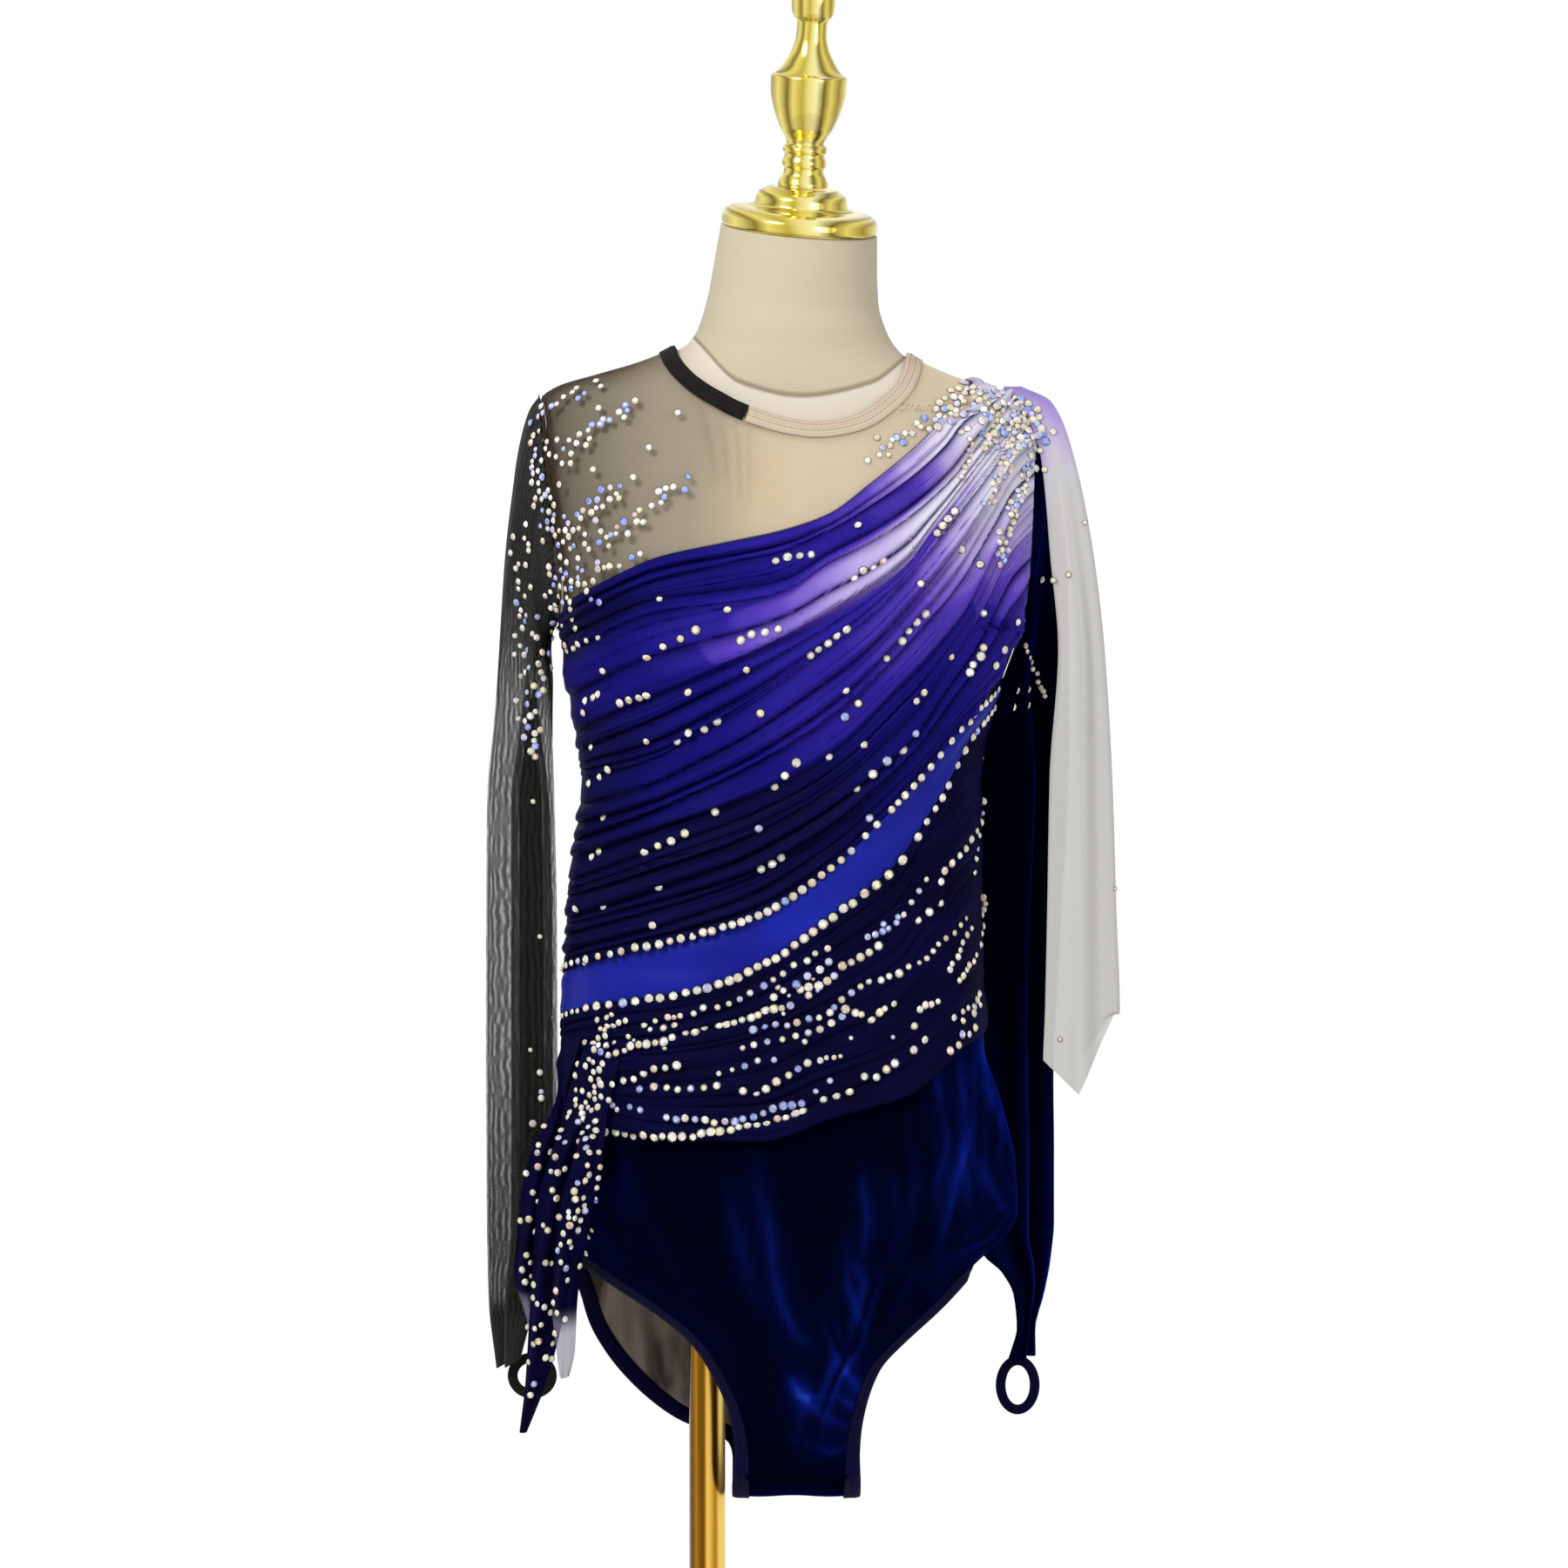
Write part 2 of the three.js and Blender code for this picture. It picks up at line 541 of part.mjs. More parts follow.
// ---------------------------------------------------------------- bindings
// A binding lies edge to edge with the cloth that it finishes. Each station has the cloth's two edge points,
// and off is the way from the edge into the opening.
function binding(name, stations, width, isRing, material) {
  const corners = stations.map(({ inner, outer, off }) => [
    inner.clone().addScaledVector(off, 2 * GAP),
    inner.clone().addScaledVector(off, 2 * GAP + width),
    outer.clone().addScaledVector(off, 2 * GAP + width),
    outer.clone().addScaledVector(off, 2 * GAP),
  ]);
  const triangles = [];
  const links = isRing ? corners.length : corners.length - 1;
  for (let i = 0; i < links; i += 1) {
    const next = (i + 1) % corners.length;
    for (let c = 0; c < 4; c += 1) {
      const [p, q] = [4 * i + c, 4 * i + ((c + 1) % 4)];
      const [r, s] = [4 * next + ((c + 1) % 4), 4 * next + c];
      triangles.push([p, q, r], [p, r, s]);
    }
  }
  if (!isRing) {
    const end = 4 * (corners.length - 1);
    triangles.push([0, 2, 1], [0, 3, 2], [end, end + 1, end + 2], [end, end + 2, end + 3]);
  }
  return solid(name, corners.flat(), triangles, material);
}

// Stations along an edge of cloth, the off direction square to the edge and to the cloth's thickness.
function stationsAlong(edge, isRing, inside) {
  return edge.map(({ inner, outer }, i) => {
    const before = edge[isRing ? (i + edge.length - 1) % edge.length : Math.max(0, i - 1)].inner;
    const after = edge[isRing ? (i + 1) % edge.length : Math.min(edge.length - 1, i + 1)].inner;
    const out = outer.clone().sub(inner);
    const off = after.clone().sub(before).cross(out).normalize();
    if (off.dot(inside(inner)) < 0) off.negate();
    return { inner, outer, off };
  });
}
const edgePoint = (name, row, column) => ({
  inner: PANEL_GRIDS[name].inner[row][column],
  outer: PANEL_GRIDS[name].outer[row][column],
});

// Neck binding: black round the left shoulder, skin-coloured round the right one. The joins are at panel columns.
const NECK_BINDING = 8;
const NECK_JOIN_FRONT = 5;
const NECK_JOIN_BACK = 7;
const neckEdge = (name, from, to) => {
  const top = PANEL_GRIDS[name].inner.length - 1;
  const step = Math.sign(to - from);
  return Array.from({ length: Math.abs(to - from) + 1 }, (_, i) => edgePoint(name, top, from + step * i));
};
const up = () => new THREE.Vector3(0, 0, 1);
const shortened = (stations, firstShare, lastShare) => {
  const blend = (a, b, share) => ({
    inner: a.inner.clone().lerp(b.inner, share),
    outer: a.outer.clone().lerp(b.outer, share),
    off: a.off.clone().lerp(b.off, share).normalize(),
  });
  const end = stations.length - 1;
  return [
    blend(stations[0], stations[1], firstShare),
    ...stations.slice(1, end),
    blend(stations[end], stations[end - 1], lastShare),
  ];
};
part.add(
  binding(
    "neck_binding_black",
    shortened(
      stationsAlong(
        [...neckEdge("yoke_front", NECK_JOIN_FRONT, 0), ...neckEdge("yoke_back", 0, NECK_JOIN_BACK)], false, up,
      ),
      0.1,
      0.04,
    ),
    NECK_BINDING, false, BLACK_ELASTIC,
  ),
  binding(
    "neck_binding_skin",
    stationsAlong(
      [...neckEdge("yoke_front", NECK_JOIN_FRONT, COLUMNS), ...neckEdge("yoke_back", COLUMNS, NECK_JOIN_BACK)],
      false, up,
    ),
    NECK_BINDING, false, NUDE_ELASTIC,
  ),
);

// Leg bindings: each follows the edge of the front, the gusset and the back round one leg opening.
const LEG_BINDING = 8;
const LEG_TOP_ROW = 8;
const GUSSET_EDGE_ROWS = [1, 2, 3, 4, 5, 6, 7];
function legEdge(column, topFront, topBack) {
  const across = column === 0 ? 0 : 1;
  const front = Array.from({ length: topFront + 1 }, (_, i) => edgePoint("brief_front", topFront - i, column));
  const gusset = GUSSET_EDGE_ROWS.map((row) => {
    const t = row / GUSSET_ROWS;
    const point = gussetPoint(across, t);
    const out = sheetNormal(gussetPoint, across, t);
    if (out.z > 0) out.negate();
    return {
      inner: point.clone().addScaledVector(out, -CLOTH / 2),
      outer: point.clone().addScaledVector(out, CLOTH / 2),
    };
  });
  const back = Array.from({ length: topBack + 1 }, (_, i) => edgePoint("body_back", i, column));
  return [...front, ...gusset, ...back];
}
const towards = (centre) => (point) => centre.clone().sub(point);
part.add(
  binding(
    "leg_binding_left",
    stationsAlong(legEdge(0, LEG_TOP_ROW, LEG_TOP_ROW - 1), true, towards(new THREE.Vector3(-45, 0, 640))),
    LEG_BINDING, true, NAVY_ELASTIC,
  ),
  binding(
    "leg_binding_right",
    stationsAlong(legEdge(COLUMNS, LEG_TOP_ROW, LEG_TOP_ROW - 1), true, towards(new THREE.Vector3(165, 0, 640))),
    LEG_BINDING, true, NAVY_ELASTIC,
  ),
);

// ---------------------------------------------------------------- sleeves
// An empty sleeve is a flat tube folded twice along its length, like a letter. Its flat width is three
// straight runs and two turns. At a fold of 0 degrees it lies open, and at 180 the runs lie on each other.
const SLEEVE_RUNS = [38, 13, 23];
const RUN_STEPS = [3, 1, 2];
const TURN_LENGTH = 14.5;
const TURN_STEPS = 3;

// The section of such a tube: pairs of the share of the width, from the outer edge to the inner one,
// and of the place across it, in millimetres towards the front. reach is half the tube's thickness.
function foldedLoop(fold, halfGap, reach) {
  const line = [];
  let [x, y, heading] = [0, 0, 0];
  const note = () => line.push({ x, y, heading });
  const walk = (length, steps, turn) => {
    for (let i = 0; i < steps; i += 1) {
      heading += turn / steps / 2;
      x += (Math.cos(heading) * length) / steps;
      y += (Math.sin(heading) * length) / steps;
      heading += turn / steps / 2;
      note();
    }
  };
  const turn = radians(fold);
  note();
  walk(SLEEVE_RUNS[0], RUN_STEPS[0], 0);
  walk(TURN_LENGTH, TURN_STEPS, turn);
  walk(SLEEVE_RUNS[1], RUN_STEPS[1], 0);
  walk(TURN_LENGTH, TURN_STEPS, -turn);
  walk(SLEEVE_RUNS[2], RUN_STEPS[2], 0);
  const right = Math.max(...line.map((p) => p.x));
  const middle = (Math.min(...line.map((p) => p.y)) + Math.max(...line.map((p) => p.y))) / 2;
  const side = (sign) =>
    line.map((p, i) => {
      const isEnd = i === 0 || i === line.length - 1;
      const off = sign * (reach - (isEnd ? 0.4 * halfGap : 0));
      return { x: p.x - Math.sin(p.heading) * off, y: p.y + Math.cos(p.heading) * off, sign };
    });
  const final = line[line.length - 1];
  const tip = reach - 0.3 * halfGap;
  const loop = [
    ...side(1),
    { x: final.x + Math.cos(final.heading) * tip, y: final.y + Math.sin(final.heading) * tip, sign: 0 },
    ...side(-1).reverse(),
    { x: -tip, y: 0, sign: 0 },
  ];
  return loop.map((p) => ({ share: p.x / right, across: p.y - middle, sign: p.sign }));
}

// Rows: the inner and outer edge of the flat tube, half its opening, how far back it hangs, and its fold.
// t runs down the sleeve from 0 at the armhole to 1 at the cuff.
const SLEEVE_COLUMNS = ["t", "innerX", "innerZ", "outerX", "outerZ", "halfGap", "y", "fold"];
const LEFT_SLEEVE = table(SLEEVE_COLUMNS, [
  [0.0, -103, 1163, -114, 1318, 40, 0, 0],
  [0.05, -105.5, 1158, -121, 1308, 32, 0, 0],
  [0.12, -106.5, 1150, -130, 1272, 22, 0, 0],
  [0.19, -107, 1136, -135, 1222, 13, 0, 30],
  [0.26, -107, 1112, -140, 1160, 6, 0, 85],
  [0.33, -107, 1080, -144, 1104, 3, 0, 140],
  [0.42, -106.5, 1030, -149, 1040, 2.6, 0, 178],
  [0.55, -105.5, 950, -150, 950, 2.6, 0, 180],
  [0.7, -105.5, 850, -150.5, 850, 2.6, 1, 180],
  [0.84, -107, 752, -150.5, 752, 2.6, 1, 180],
  [0.93, -119, 700, -150.5, 697, 2.6, 1, 180],
  [1.0, -130, 654.3, -146, 645, 2.6, 0, 180],
]);
const RIGHT_SLEEVE = table(SLEEVE_COLUMNS, [
  [0.0, 217, 1161, 229, 1307, 40, 0, 0],
  [0.05, 220, 1156, 235, 1297, 32, 0, 0],
  [0.12, 222, 1148, 241, 1262, 22, 2, 0],
  [0.19, 222, 1134, 245, 1214, 13, 4, 30],
  [0.26, 218, 1110, 247, 1155, 6, 6, 85],
  [0.33, 211, 1080, 248, 1100, 3, 9, 140],
  [0.42, 202, 1030, 247, 1038, 2.6, 18, 178],
  [0.55, 197, 950, 243, 950, 2.6, 32, 180],
  [0.7, 197, 850, 240, 850, 2.6, 48, 180],
  [0.8, 197, 786, 241, 786, 2.6, 52, 180],
  [0.88, 195, 724, 241, 738, 2.6, 50, 180],
  [0.92, 209, 706, 239.5, 712, 2.6, 48, 180],
  [0.95, 216, 690, 236, 690, 2.6, 46, 180],
  [0.975, 217.5, 668, 230, 664, 2.2, 44, 180],
  [1.0, 212, 646, 230, 645, 2.6, 44, 180],
]);
const UPPER_SHARES = [0, 0.03, 0.07, 0.12, 0.17, 0.22, 0.28, 0.35, 0.43, 0.56, 0.7];
const LEFT_SHARES = [...UPPER_SHARES, 0.84, 0.93, 0.97, 1];
const RIGHT_SHARES = [...UPPER_SHARES, 0.8, 0.88, 0.92, 0.95, 0.975, 1];

// The armhole's edge, one seam gap outside the body's panels. high is 0 at the underarm and 1 at the shoulder.
function armholePoint(high, isLeft, sign, offset) {
  const z = lerp(UNDERARM + 4, SHOULDER_TIP, high);
  const section = halfSection(z, sign > 0);
  const inside = Math.min(1, armholeAt(z) / section.half);
  const lip = section.depth * (1 - inside ** section.square) ** (1 / section.square);
  // At both ends of the armhole, where it closes, the panels' own thickness needs more room.
  const room = 3 * GAP + 2.2 * (1 - clamp(section.cut / 3, 0, 1));
  const side = (isLeft ? -1 : 1) * (armholeAt(z) + room);
  const y = sign === 0 ? 0 : -sign * (lip + offset);
  const past = sign === 0 ? offset * Math.sign(high - 0.5) : 0;
  return new THREE.Vector3(section.middle + side, y, z + past - tiltAt(z) * side);
}

function sleeve(name, rows, shares, isLeft, thickness, material) {
  const rings = (offset) =>
    shares.map((t) => {
      const r = rows(t);
      return foldedLoop(r.fold, r.halfGap, r.halfGap + offset).map(({ share, across, sign }) => {
        if (t === 0) return armholePoint(clamp(1 - share, 0, 1), isLeft, sign, offset);
        // While the tube still stands open its section is rounded.
        const open = smooth(5, 20, r.halfGap);
        const inside = clamp(share, 0, 1);
        const round = Math.sqrt(1 - (2 * inside - 1) ** 2);
        const past = offset * Math.sign(share - 0.5) * (sign === 0 ? 1 : 0);
        const flatShare = lerp(share, inside, open);
        const slope = new THREE.Vector2(r.innerX - r.outerX, r.innerZ - r.outerZ);
        const length = slope.length();
        const place = flatShare + (past / length) * open;
        return new THREE.Vector3(
          r.outerX + slope.x * place,
          r.y - lerp(across, sign * (round * r.halfGap + offset), open),
          r.outerZ + slope.y * place,
        );
      });
    });
  return wall(name, rings(0), rings(thickness), true, material);
}
part.add(
  sleeve("sleeve_sheer", LEFT_SLEEVE, LEFT_SHARES, true, SHEER, BLACK_NET),
  sleeve("sleeve_velvet", RIGHT_SLEEVE, RIGHT_SHARES, false, CLOTH, VELVET),
);

// ---------------------------------------------------------------- finger loops
const LOOP_STEPS = 14;
const LOOP_SECTION = [[-2.3, -1.5], [2.3, -1.5], [2.3, 1.5], [-2.3, 1.5]];
function fingerLoop(name, centre, halfWidth, halfHeight, material) {
  const points = [];
  const triangles = [];
  for (let i = 0; i < LOOP_STEPS; i += 1) {
    const angle = (2 * Math.PI * i) / LOOP_STEPS;
    const next = (i + 1) % LOOP_STEPS;
    LOOP_SECTION.forEach(([out, deep], c) => {
      points.push(new THREE.Vector3(
        centre.x + (halfWidth + out) * Math.cos(angle),
        centre.y + deep,
        centre.z + (halfHeight + out) * Math.sin(angle),
      ));
      const [p, q] = [4 * i + c, 4 * i + ((c + 1) % 4)];
      const [r, s] = [4 * next + ((c + 1) % 4), 4 * next + c];
      triangles.push([p, q, r], [p, r, s]);
    });
  }
  return solid(name, points, triangles, material);
}
part.add(
  fingerLoop("finger_loop_left", new THREE.Vector3(-121.5, 0, 641), 13.6, 12.7, BLACK_ELASTIC),
  fingerLoop("finger_loop_right", new THREE.Vector3(218, 44, 625.6), 12, 17.5, NAVY_ELASTIC),
);

// ---------------------------------------------------------------- shoulder streamer
// A long chiffon strip, gathered at the shoulder. Its outer edge is turned behind along its whole length.
const STREAMER = table(
  ["t", "left", "right", "z", "y", "fold"],
  [
    [0.0, 211, 225, 1320, -12, 4],
    [0.04, 219, 237, 1313, -30, 5],
    [0.12, 227, 249, 1278, -42, 6],
    [0.25, 234, 263, 1210, -42, 7],
    [0.38, 240, 271, 1145, -38, 7],
    [0.55, 235, 277, 1060, -30, 7],
    [0.75, 234, 281, 965, -22, 7],
    [0.9, 233, 284, 893, -16, 7],
    [1.0, 232, 284, 840, -14, 7],
  ],
);
const FRONT_SHARE = 0.62;
const TURN_SHARE = 0.14;
function streamerPoint(u, v) {
  const r = STREAMER(v);
  const front = clamp(u / FRONT_SHARE, 0, 1);
  const turn = clamp((u - FRONT_SHARE) / TURN_SHARE, 0, 1);
  const back = clamp((u - FRONT_SHARE - TURN_SHARE) / (1 - FRONT_SHARE - TURN_SHARE), 0, 1);
  const radius = r.fold / 2;
  const width = r.right - r.left;
  const wave = Math.sin(Math.PI * 2.5 * front) * smooth(0.1, 0.5, v) * 2.2 * (1 - turn);
  const x = r.left + (width - radius) * front + radius * Math.sin(Math.PI * turn) - 0.42 * width * back;
  const y = r.y + wave + radius * (1 - Math.cos(Math.PI * turn));
  // The end is cut slanting up towards both edges from a point near the left.
  const end = smooth(0.88, 1, v);
  const rise = front < 0.5 ? 46 * (0.5 - front) : 110 * (front - 0.5) - 30 * back;
  return new THREE.Vector3(x, y, r.z + rise * end);
}
part.add(sheet("shoulder_streamer", streamerPoint, 12, 13, SHEER, WHITE_CHIFFON));

// ---------------------------------------------------------------- hip tails
// Each tail is a strip of the draped cloth. It is sewn on over the lower drape at the left hip, then hangs free,
// waved round its own length.
const TAIL_CLEARANCE = 2.6 + CLOTH + 0.4 + CLOTH / 2;
const SEWN_LENGTH = 0.12;
function tail(name, waves, rows) {
  const at = table(["t", "left", "right", "z", "y", "deep"], rows);
  const point = (u, v) => {
    const r = at(v);
    const x = lerp(r.left, r.right, u);
    const free = new THREE.Vector3(x, r.y - r.deep * Math.sin(Math.PI * waves * u), r.z);
    const across = shareAt(x, r.z);
    const sewn = wornPoint(across, r.z, true).addScaledVector(wornNormal(across, r.z, true), TAIL_CLEARANCE);
    return sewn.lerp(free, smooth(SEWN_LENGTH, 3 * SEWN_LENGTH, v));
  };
  return sheet(name, point, 11, 6, CLOTH, NAVY_DRAPE);
}
part.add(
  tail("hip_tail_outer", 1.5, [
    [0, -90, -80, 884, -44, 1],
    [0.2, -105, -92, 842, -45, 3],
    [0.5, -125, -102, 780, -43, 5],
    [0.8, -131, -105, 716, -40, 5],
    [1, -129, -112, 688, -40, 3],
  ]),
  tail("hip_tail_middle", 1.5, [
    [0, -77, -63, 880, -62, 1],
    [0.2, -91, -74, 840, -65, 3],
    [0.5, -114, -88, 770, -62, 5],
    [0.8, -120, -95, 690, -58, 5],
    [0.92, -123, -106, 645, -54, 3],
    [1, -127, -123, 612, -52, 1],
  ]),
  tail("hip_tail_inner", 1.5, [
    [0, -60, -46, 866, -82, 1],
    [0.2, -74, -56, 828, -87, 3],
    [0.5, -97, -72, 772, -86, 5],
    [0.8, -105, -81, 704, -80, 5],
    [1, -103, -89, 655, -76, 3],
  ]),
);

export default part;
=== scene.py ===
# %% [markdown]
# # A figure skating dress on a dress form
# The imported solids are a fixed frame. Each cell below makes one piece of the real object again with the
# detail that a plain solid leaves out: pleats, net, nap, stitches and stones. Everything is worked out in
# millimetres and turned to metres when a mesh is made.

# %% Load the frame
import math

import bpy
import numpy as np
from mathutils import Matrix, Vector
from mathutils.bvhtree import BVHTree


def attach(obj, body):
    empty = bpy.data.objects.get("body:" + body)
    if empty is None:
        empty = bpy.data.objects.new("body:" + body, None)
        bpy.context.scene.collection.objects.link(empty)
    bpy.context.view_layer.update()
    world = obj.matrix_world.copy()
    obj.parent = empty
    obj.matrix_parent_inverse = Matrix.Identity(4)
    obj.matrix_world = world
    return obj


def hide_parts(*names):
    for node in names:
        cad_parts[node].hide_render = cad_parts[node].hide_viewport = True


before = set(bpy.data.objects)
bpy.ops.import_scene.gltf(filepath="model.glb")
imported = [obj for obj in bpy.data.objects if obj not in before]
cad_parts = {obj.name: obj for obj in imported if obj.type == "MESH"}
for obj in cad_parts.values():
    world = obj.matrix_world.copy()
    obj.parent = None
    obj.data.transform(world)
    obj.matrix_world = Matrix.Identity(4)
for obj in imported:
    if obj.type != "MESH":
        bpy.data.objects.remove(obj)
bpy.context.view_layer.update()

MM = 0.001
print("frame holds", len(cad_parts), "solids")

# %% [markdown]
# ## Small helpers
# A dress is drawn with soft curves, so most numbers are read from a smooth curve through a few hand-set
# values. Writing them for whole arrays at once keeps a grid of twenty thousand points quick.

# %% Curves through a few values


def lerp(a, b, t):
    return a + (b - a) * t


def smooth(a, b, v):
    t = np.clip((v - a) / (b - a), 0, 1)
    return t * t * (3 - 2 * t)


def unit(v):
    return v / np.maximum(np.linalg.norm(v, axis=-1, keepdims=True), 1e-9)


def curve_through(xs, ys):
    """A smooth curve through the values, which rises or falls only where they do."""
    xs, ys = np.asarray(xs, float), np.asarray(ys, float)
    steps = np.diff(ys) / np.diff(xs)
    slopes = np.r_[steps[0], np.zeros(len(xs) - 2), steps[-1]]
    product, total = steps[:-1] * steps[1:], steps[:-1] + steps[1:]
    slopes[1:-1] = np.where(product > 0, 2 * product / np.where(product > 0, total, 1), 0)

    def at(x):
        x = np.asarray(x, float)
        i = np.clip(np.searchsorted(xs, x) - 1, 0, len(xs) - 2)
        width = xs[i + 1] - xs[i]
        t = np.clip((x - xs[i]) / width, 0, 1)
        t2, t3 = t * t, t * t * t
        ends = ys[i] * (2 * t3 - 3 * t2 + 1) + ys[i + 1] * (3 * t2 - 2 * t3)
        return ends + width * (slopes[i] * (t3 - 2 * t2 + t) + slopes[i + 1] * (t3 - t2))

    return at


def columns_of(rows):
    """A smooth curve for each further column of a table, along its first one."""
    heads, *columns = np.array(rows, float).T
    return [curve_through(heads, column) for column in columns]


def run_along(points):
    """How far along a path each of its points lies."""
    return np.r_[0, np.cumsum(np.linalg.norm(np.diff(points, axis=0), axis=1))]


# %% [markdown]
# ## The worn surface
# The cloth lies over the form, so every sewn panel follows one surface: an egg-shaped section at each height,
# cut off flat at the armholes, and flattened to a plain arc between the leg openings. The table holds the
# same sizes as the solids do, so a panel made from it always sits where its solid is.

# %% Sizes shared with the solids
GAP = 0.3
UNDERARM, SHOULDER_TIP = 1160, 1316
ARMHOLE_LOW, ARMHOLE_HIGH = 157, 169
NECKLINE_SIDE, NECKLINE_BACK = 1346, 1337
BACK_YOKE_SEAM = 1222
LEG_ARC, SIDE_SEAM_LOW = 718, 760
CROTCH_FRONT, CROTCH_BACK, CROTCH_LOW = 578, 592, 558
CLOTH, SHEER = 1.4, 1.2
# height, front left and right, back left and right, the four ends' depths, front and back bulge, squareness
WORN = columns_of([
    [570, 27, 97, 30, 97, -43, -43, 43, 43, 47, 47, 2.4],
    [590, 28, 97, 26, 97, -43, -43, 43, 43, 51, 50, 2.4],
    [606, 27, 98, -14, 98, -45, -45, 45, 45, 56, 55, 2.4],
    [628, 22, 102, -43, 101, -47, -47, 48, 46, 62, 61, 2.4],
    [656, 9, 112, -66, 110, -49, -50, 44, 44, 69, 69, 2.3],
    [676, -5, 130, -76, 127, -48, -50, 38, 40, 75, 74, 2.2],
    [700, -36, 156, -82, 154, -41, -46, 25, 30, 81, 80, 2.2],
    [716, -64, 172, -87, 171, -26, -40, 12, 16, 86, 84, 2.2],
    [730, -86, 188, -89, 187, -7, -32, 3, 0, 89, 87, 2.1],
    [745, -90, 206, -90, 206, -2, -21, -2, -19, 92, 89, 2.1],
    [760, -91, 213, -91, 213, -1, -16, -1, -16, 93, 89, 2.1],
    [790, -92, 212, -92, 212, 0, -12, 0, -12, 94, 90, 2.1],
    [830, -95, 203, -95, 203, 0, -6, 0, -6, 94, 91, 2.1],
    [873, -99, 190, -99, 190, 0, 0, 0, 0, 92, 90, 2.2],
    [933, -96, 189, -96, 189, 0, 0, 0, 0, 86, 83, 2.2],
    [993, -92, 187, -92, 187, 0, 0, 0, 0, 84, 79, 2.2],
    [1053, -84, 187, -84, 187, 0, 0, 0, 0, 90, 81, 2.2],
    [1113, -92, 198, -92, 198, 0, 0, 0, 0, 101, 86, 2.2],
    [1160, -99, 214, -99, 214, 0, 0, 0, 0, 105, 90, 2.3],
    [1200, -107, 226, -107, 226, 0, 0, 0, 0, 100, 92, 2.5],
    [1240, -113, 230, -113, 230, 0, 0, 0, 0, 89, 91, 2.7],
    [1280, -117, 231, -117, 231, 0, 0, 0, 0, 77, 84, 2.8],
    [1300, -117, 230, -117, 230, 0, 0, 0, 0, 70, 78, 2.7],
    [1312, -112, 226, -112, 226, 0, 0, 0, 0, 66, 73, 2.6],
    [1320, -101, 216, -101, 216, 0, 0, 0, 0, 63, 69, 2.5],
    [1329, -74, 188, -74, 188, 0, 0, 0, 0, 60, 65, 2.3],
    [1338, -46, 161, -46, 161, 0, 0, 0, 0, 58, 62, 2.2],
    [1346, -28, 144, -28, 144, 0, 0, 0, 0, 57, 59, 2.1],
    [1354, -19, 135, -19, 135, 0, 0, 0, 0, 56, 57, 2.0],
])

# %% The surface and its outward direction
SLOPE = 0.03  # the shoulders slope down to the right by this much
SIDE_STEP, HEIGHT_STEP = 0.004, 1  # how far apart the points lie that give a direction
FLATTENED = 2.2  # the power of the plain arc between the leg openings


def armhole_at(z):
    return lerp(ARMHOLE_LOW, ARMHOLE_HIGH, (z - UNDERARM) / (SHOULDER_TIP - UNDERARM))


def tilt_at(z):
    return SLOPE * smooth(1150, 1300, z)


def lip_at(side, depth, square):
    """How deep an egg-shaped section still is at a share of the way to its side."""
    return depth * (1 - side ** square) ** (1 / square)


def egg_radius(s, c, half, depth, square):
    return (np.abs(s / half) ** square + np.abs(c / depth) ** square) ** (-1 / square)


def half_section(z, front):
    w = [column(z) for column in WORN]
    left, right, left_y, right_y = (w[0], w[1], w[4], w[5]) if front else (w[2], w[3], w[6], w[7])
    half, middle, ends = (right - left) / 2, (left + right) / 2, (left_y + right_y) / 2
    depth = w[8] + ends if front else w[9] - ends
    reach = armhole_at(z)
    lip = lip_at(np.clip(reach / half, 0, 1), depth, w[10])
    is_cut = (z > UNDERARM - 40) & (half > reach)
    widest = np.where(is_cut, np.arctan2(reach, lip), np.pi / 2)
    return half, middle, depth, widest, w[10], left_y, right_y


def worn(across, z, front):
    """A point of the worn surface. across is 0 at the left seam and 1 at the right one."""
    half, middle, depth, widest, square, left_y, right_y = half_section(z, front)
    angle = lerp(-widest, widest, across)
    s, c = np.sin(angle), np.cos(angle)
    radius = egg_radius(s, c, half, depth, square)
    flat, spread = 1 - smooth(LEG_ARC, SIDE_SEAM_LOW, z), 2 * across - 1
    side = lerp(radius * s, half * spread, flat)
    bulge = lerp(radius * c, depth * (1 - np.abs(spread) ** FLATTENED), flat)
    end_y = lerp(left_y, right_y, np.clip(0.5 + 0.5 * side / half, 0, 1))
    return np.stack([middle + side, end_y - bulge if front else end_y + bulge, z - tilt_at(z) * side], -1)


def worn_out(across, z, front):
    """The outward direction there, kept in the seam's own plane at armholes and side seams."""
    low, high = np.clip(across - SIDE_STEP, 0, 1), np.clip(across + SIDE_STEP, 0, 1)
    sideways = worn(high, z, front) - worn(low, z, front)
    upward = worn(across, z + HEIGHT_STEP, front) - worn(across, z - HEIGHT_STEP, front)
    out = unit(np.cross(sideways, upward)) * (1 if front else -1)
    cut = half_section(z, front)[0] - armhole_at(z)
    at_armhole = np.where(z > UNDERARM - 20, np.clip(cut / 2, 0, 1), 0)
    at_edge = smooth(0.84, 1, np.abs(2 * across - 1))
    out[..., 0] *= 1 - at_armhole * at_edge
    out[..., 1] *= 1 - np.where(z > 740, 1 - at_armhole, 0) * at_edge
    return unit(out)


def share_at(x, z):
    half, middle, depth, widest, square = half_section(z, True)[:5]
    side = np.clip((x - middle) / half, -0.999, 0.999)
    return 0.5 + 0.5 * np.arctan2(side * half, lip_at(np.abs(side), depth, square)) / widest


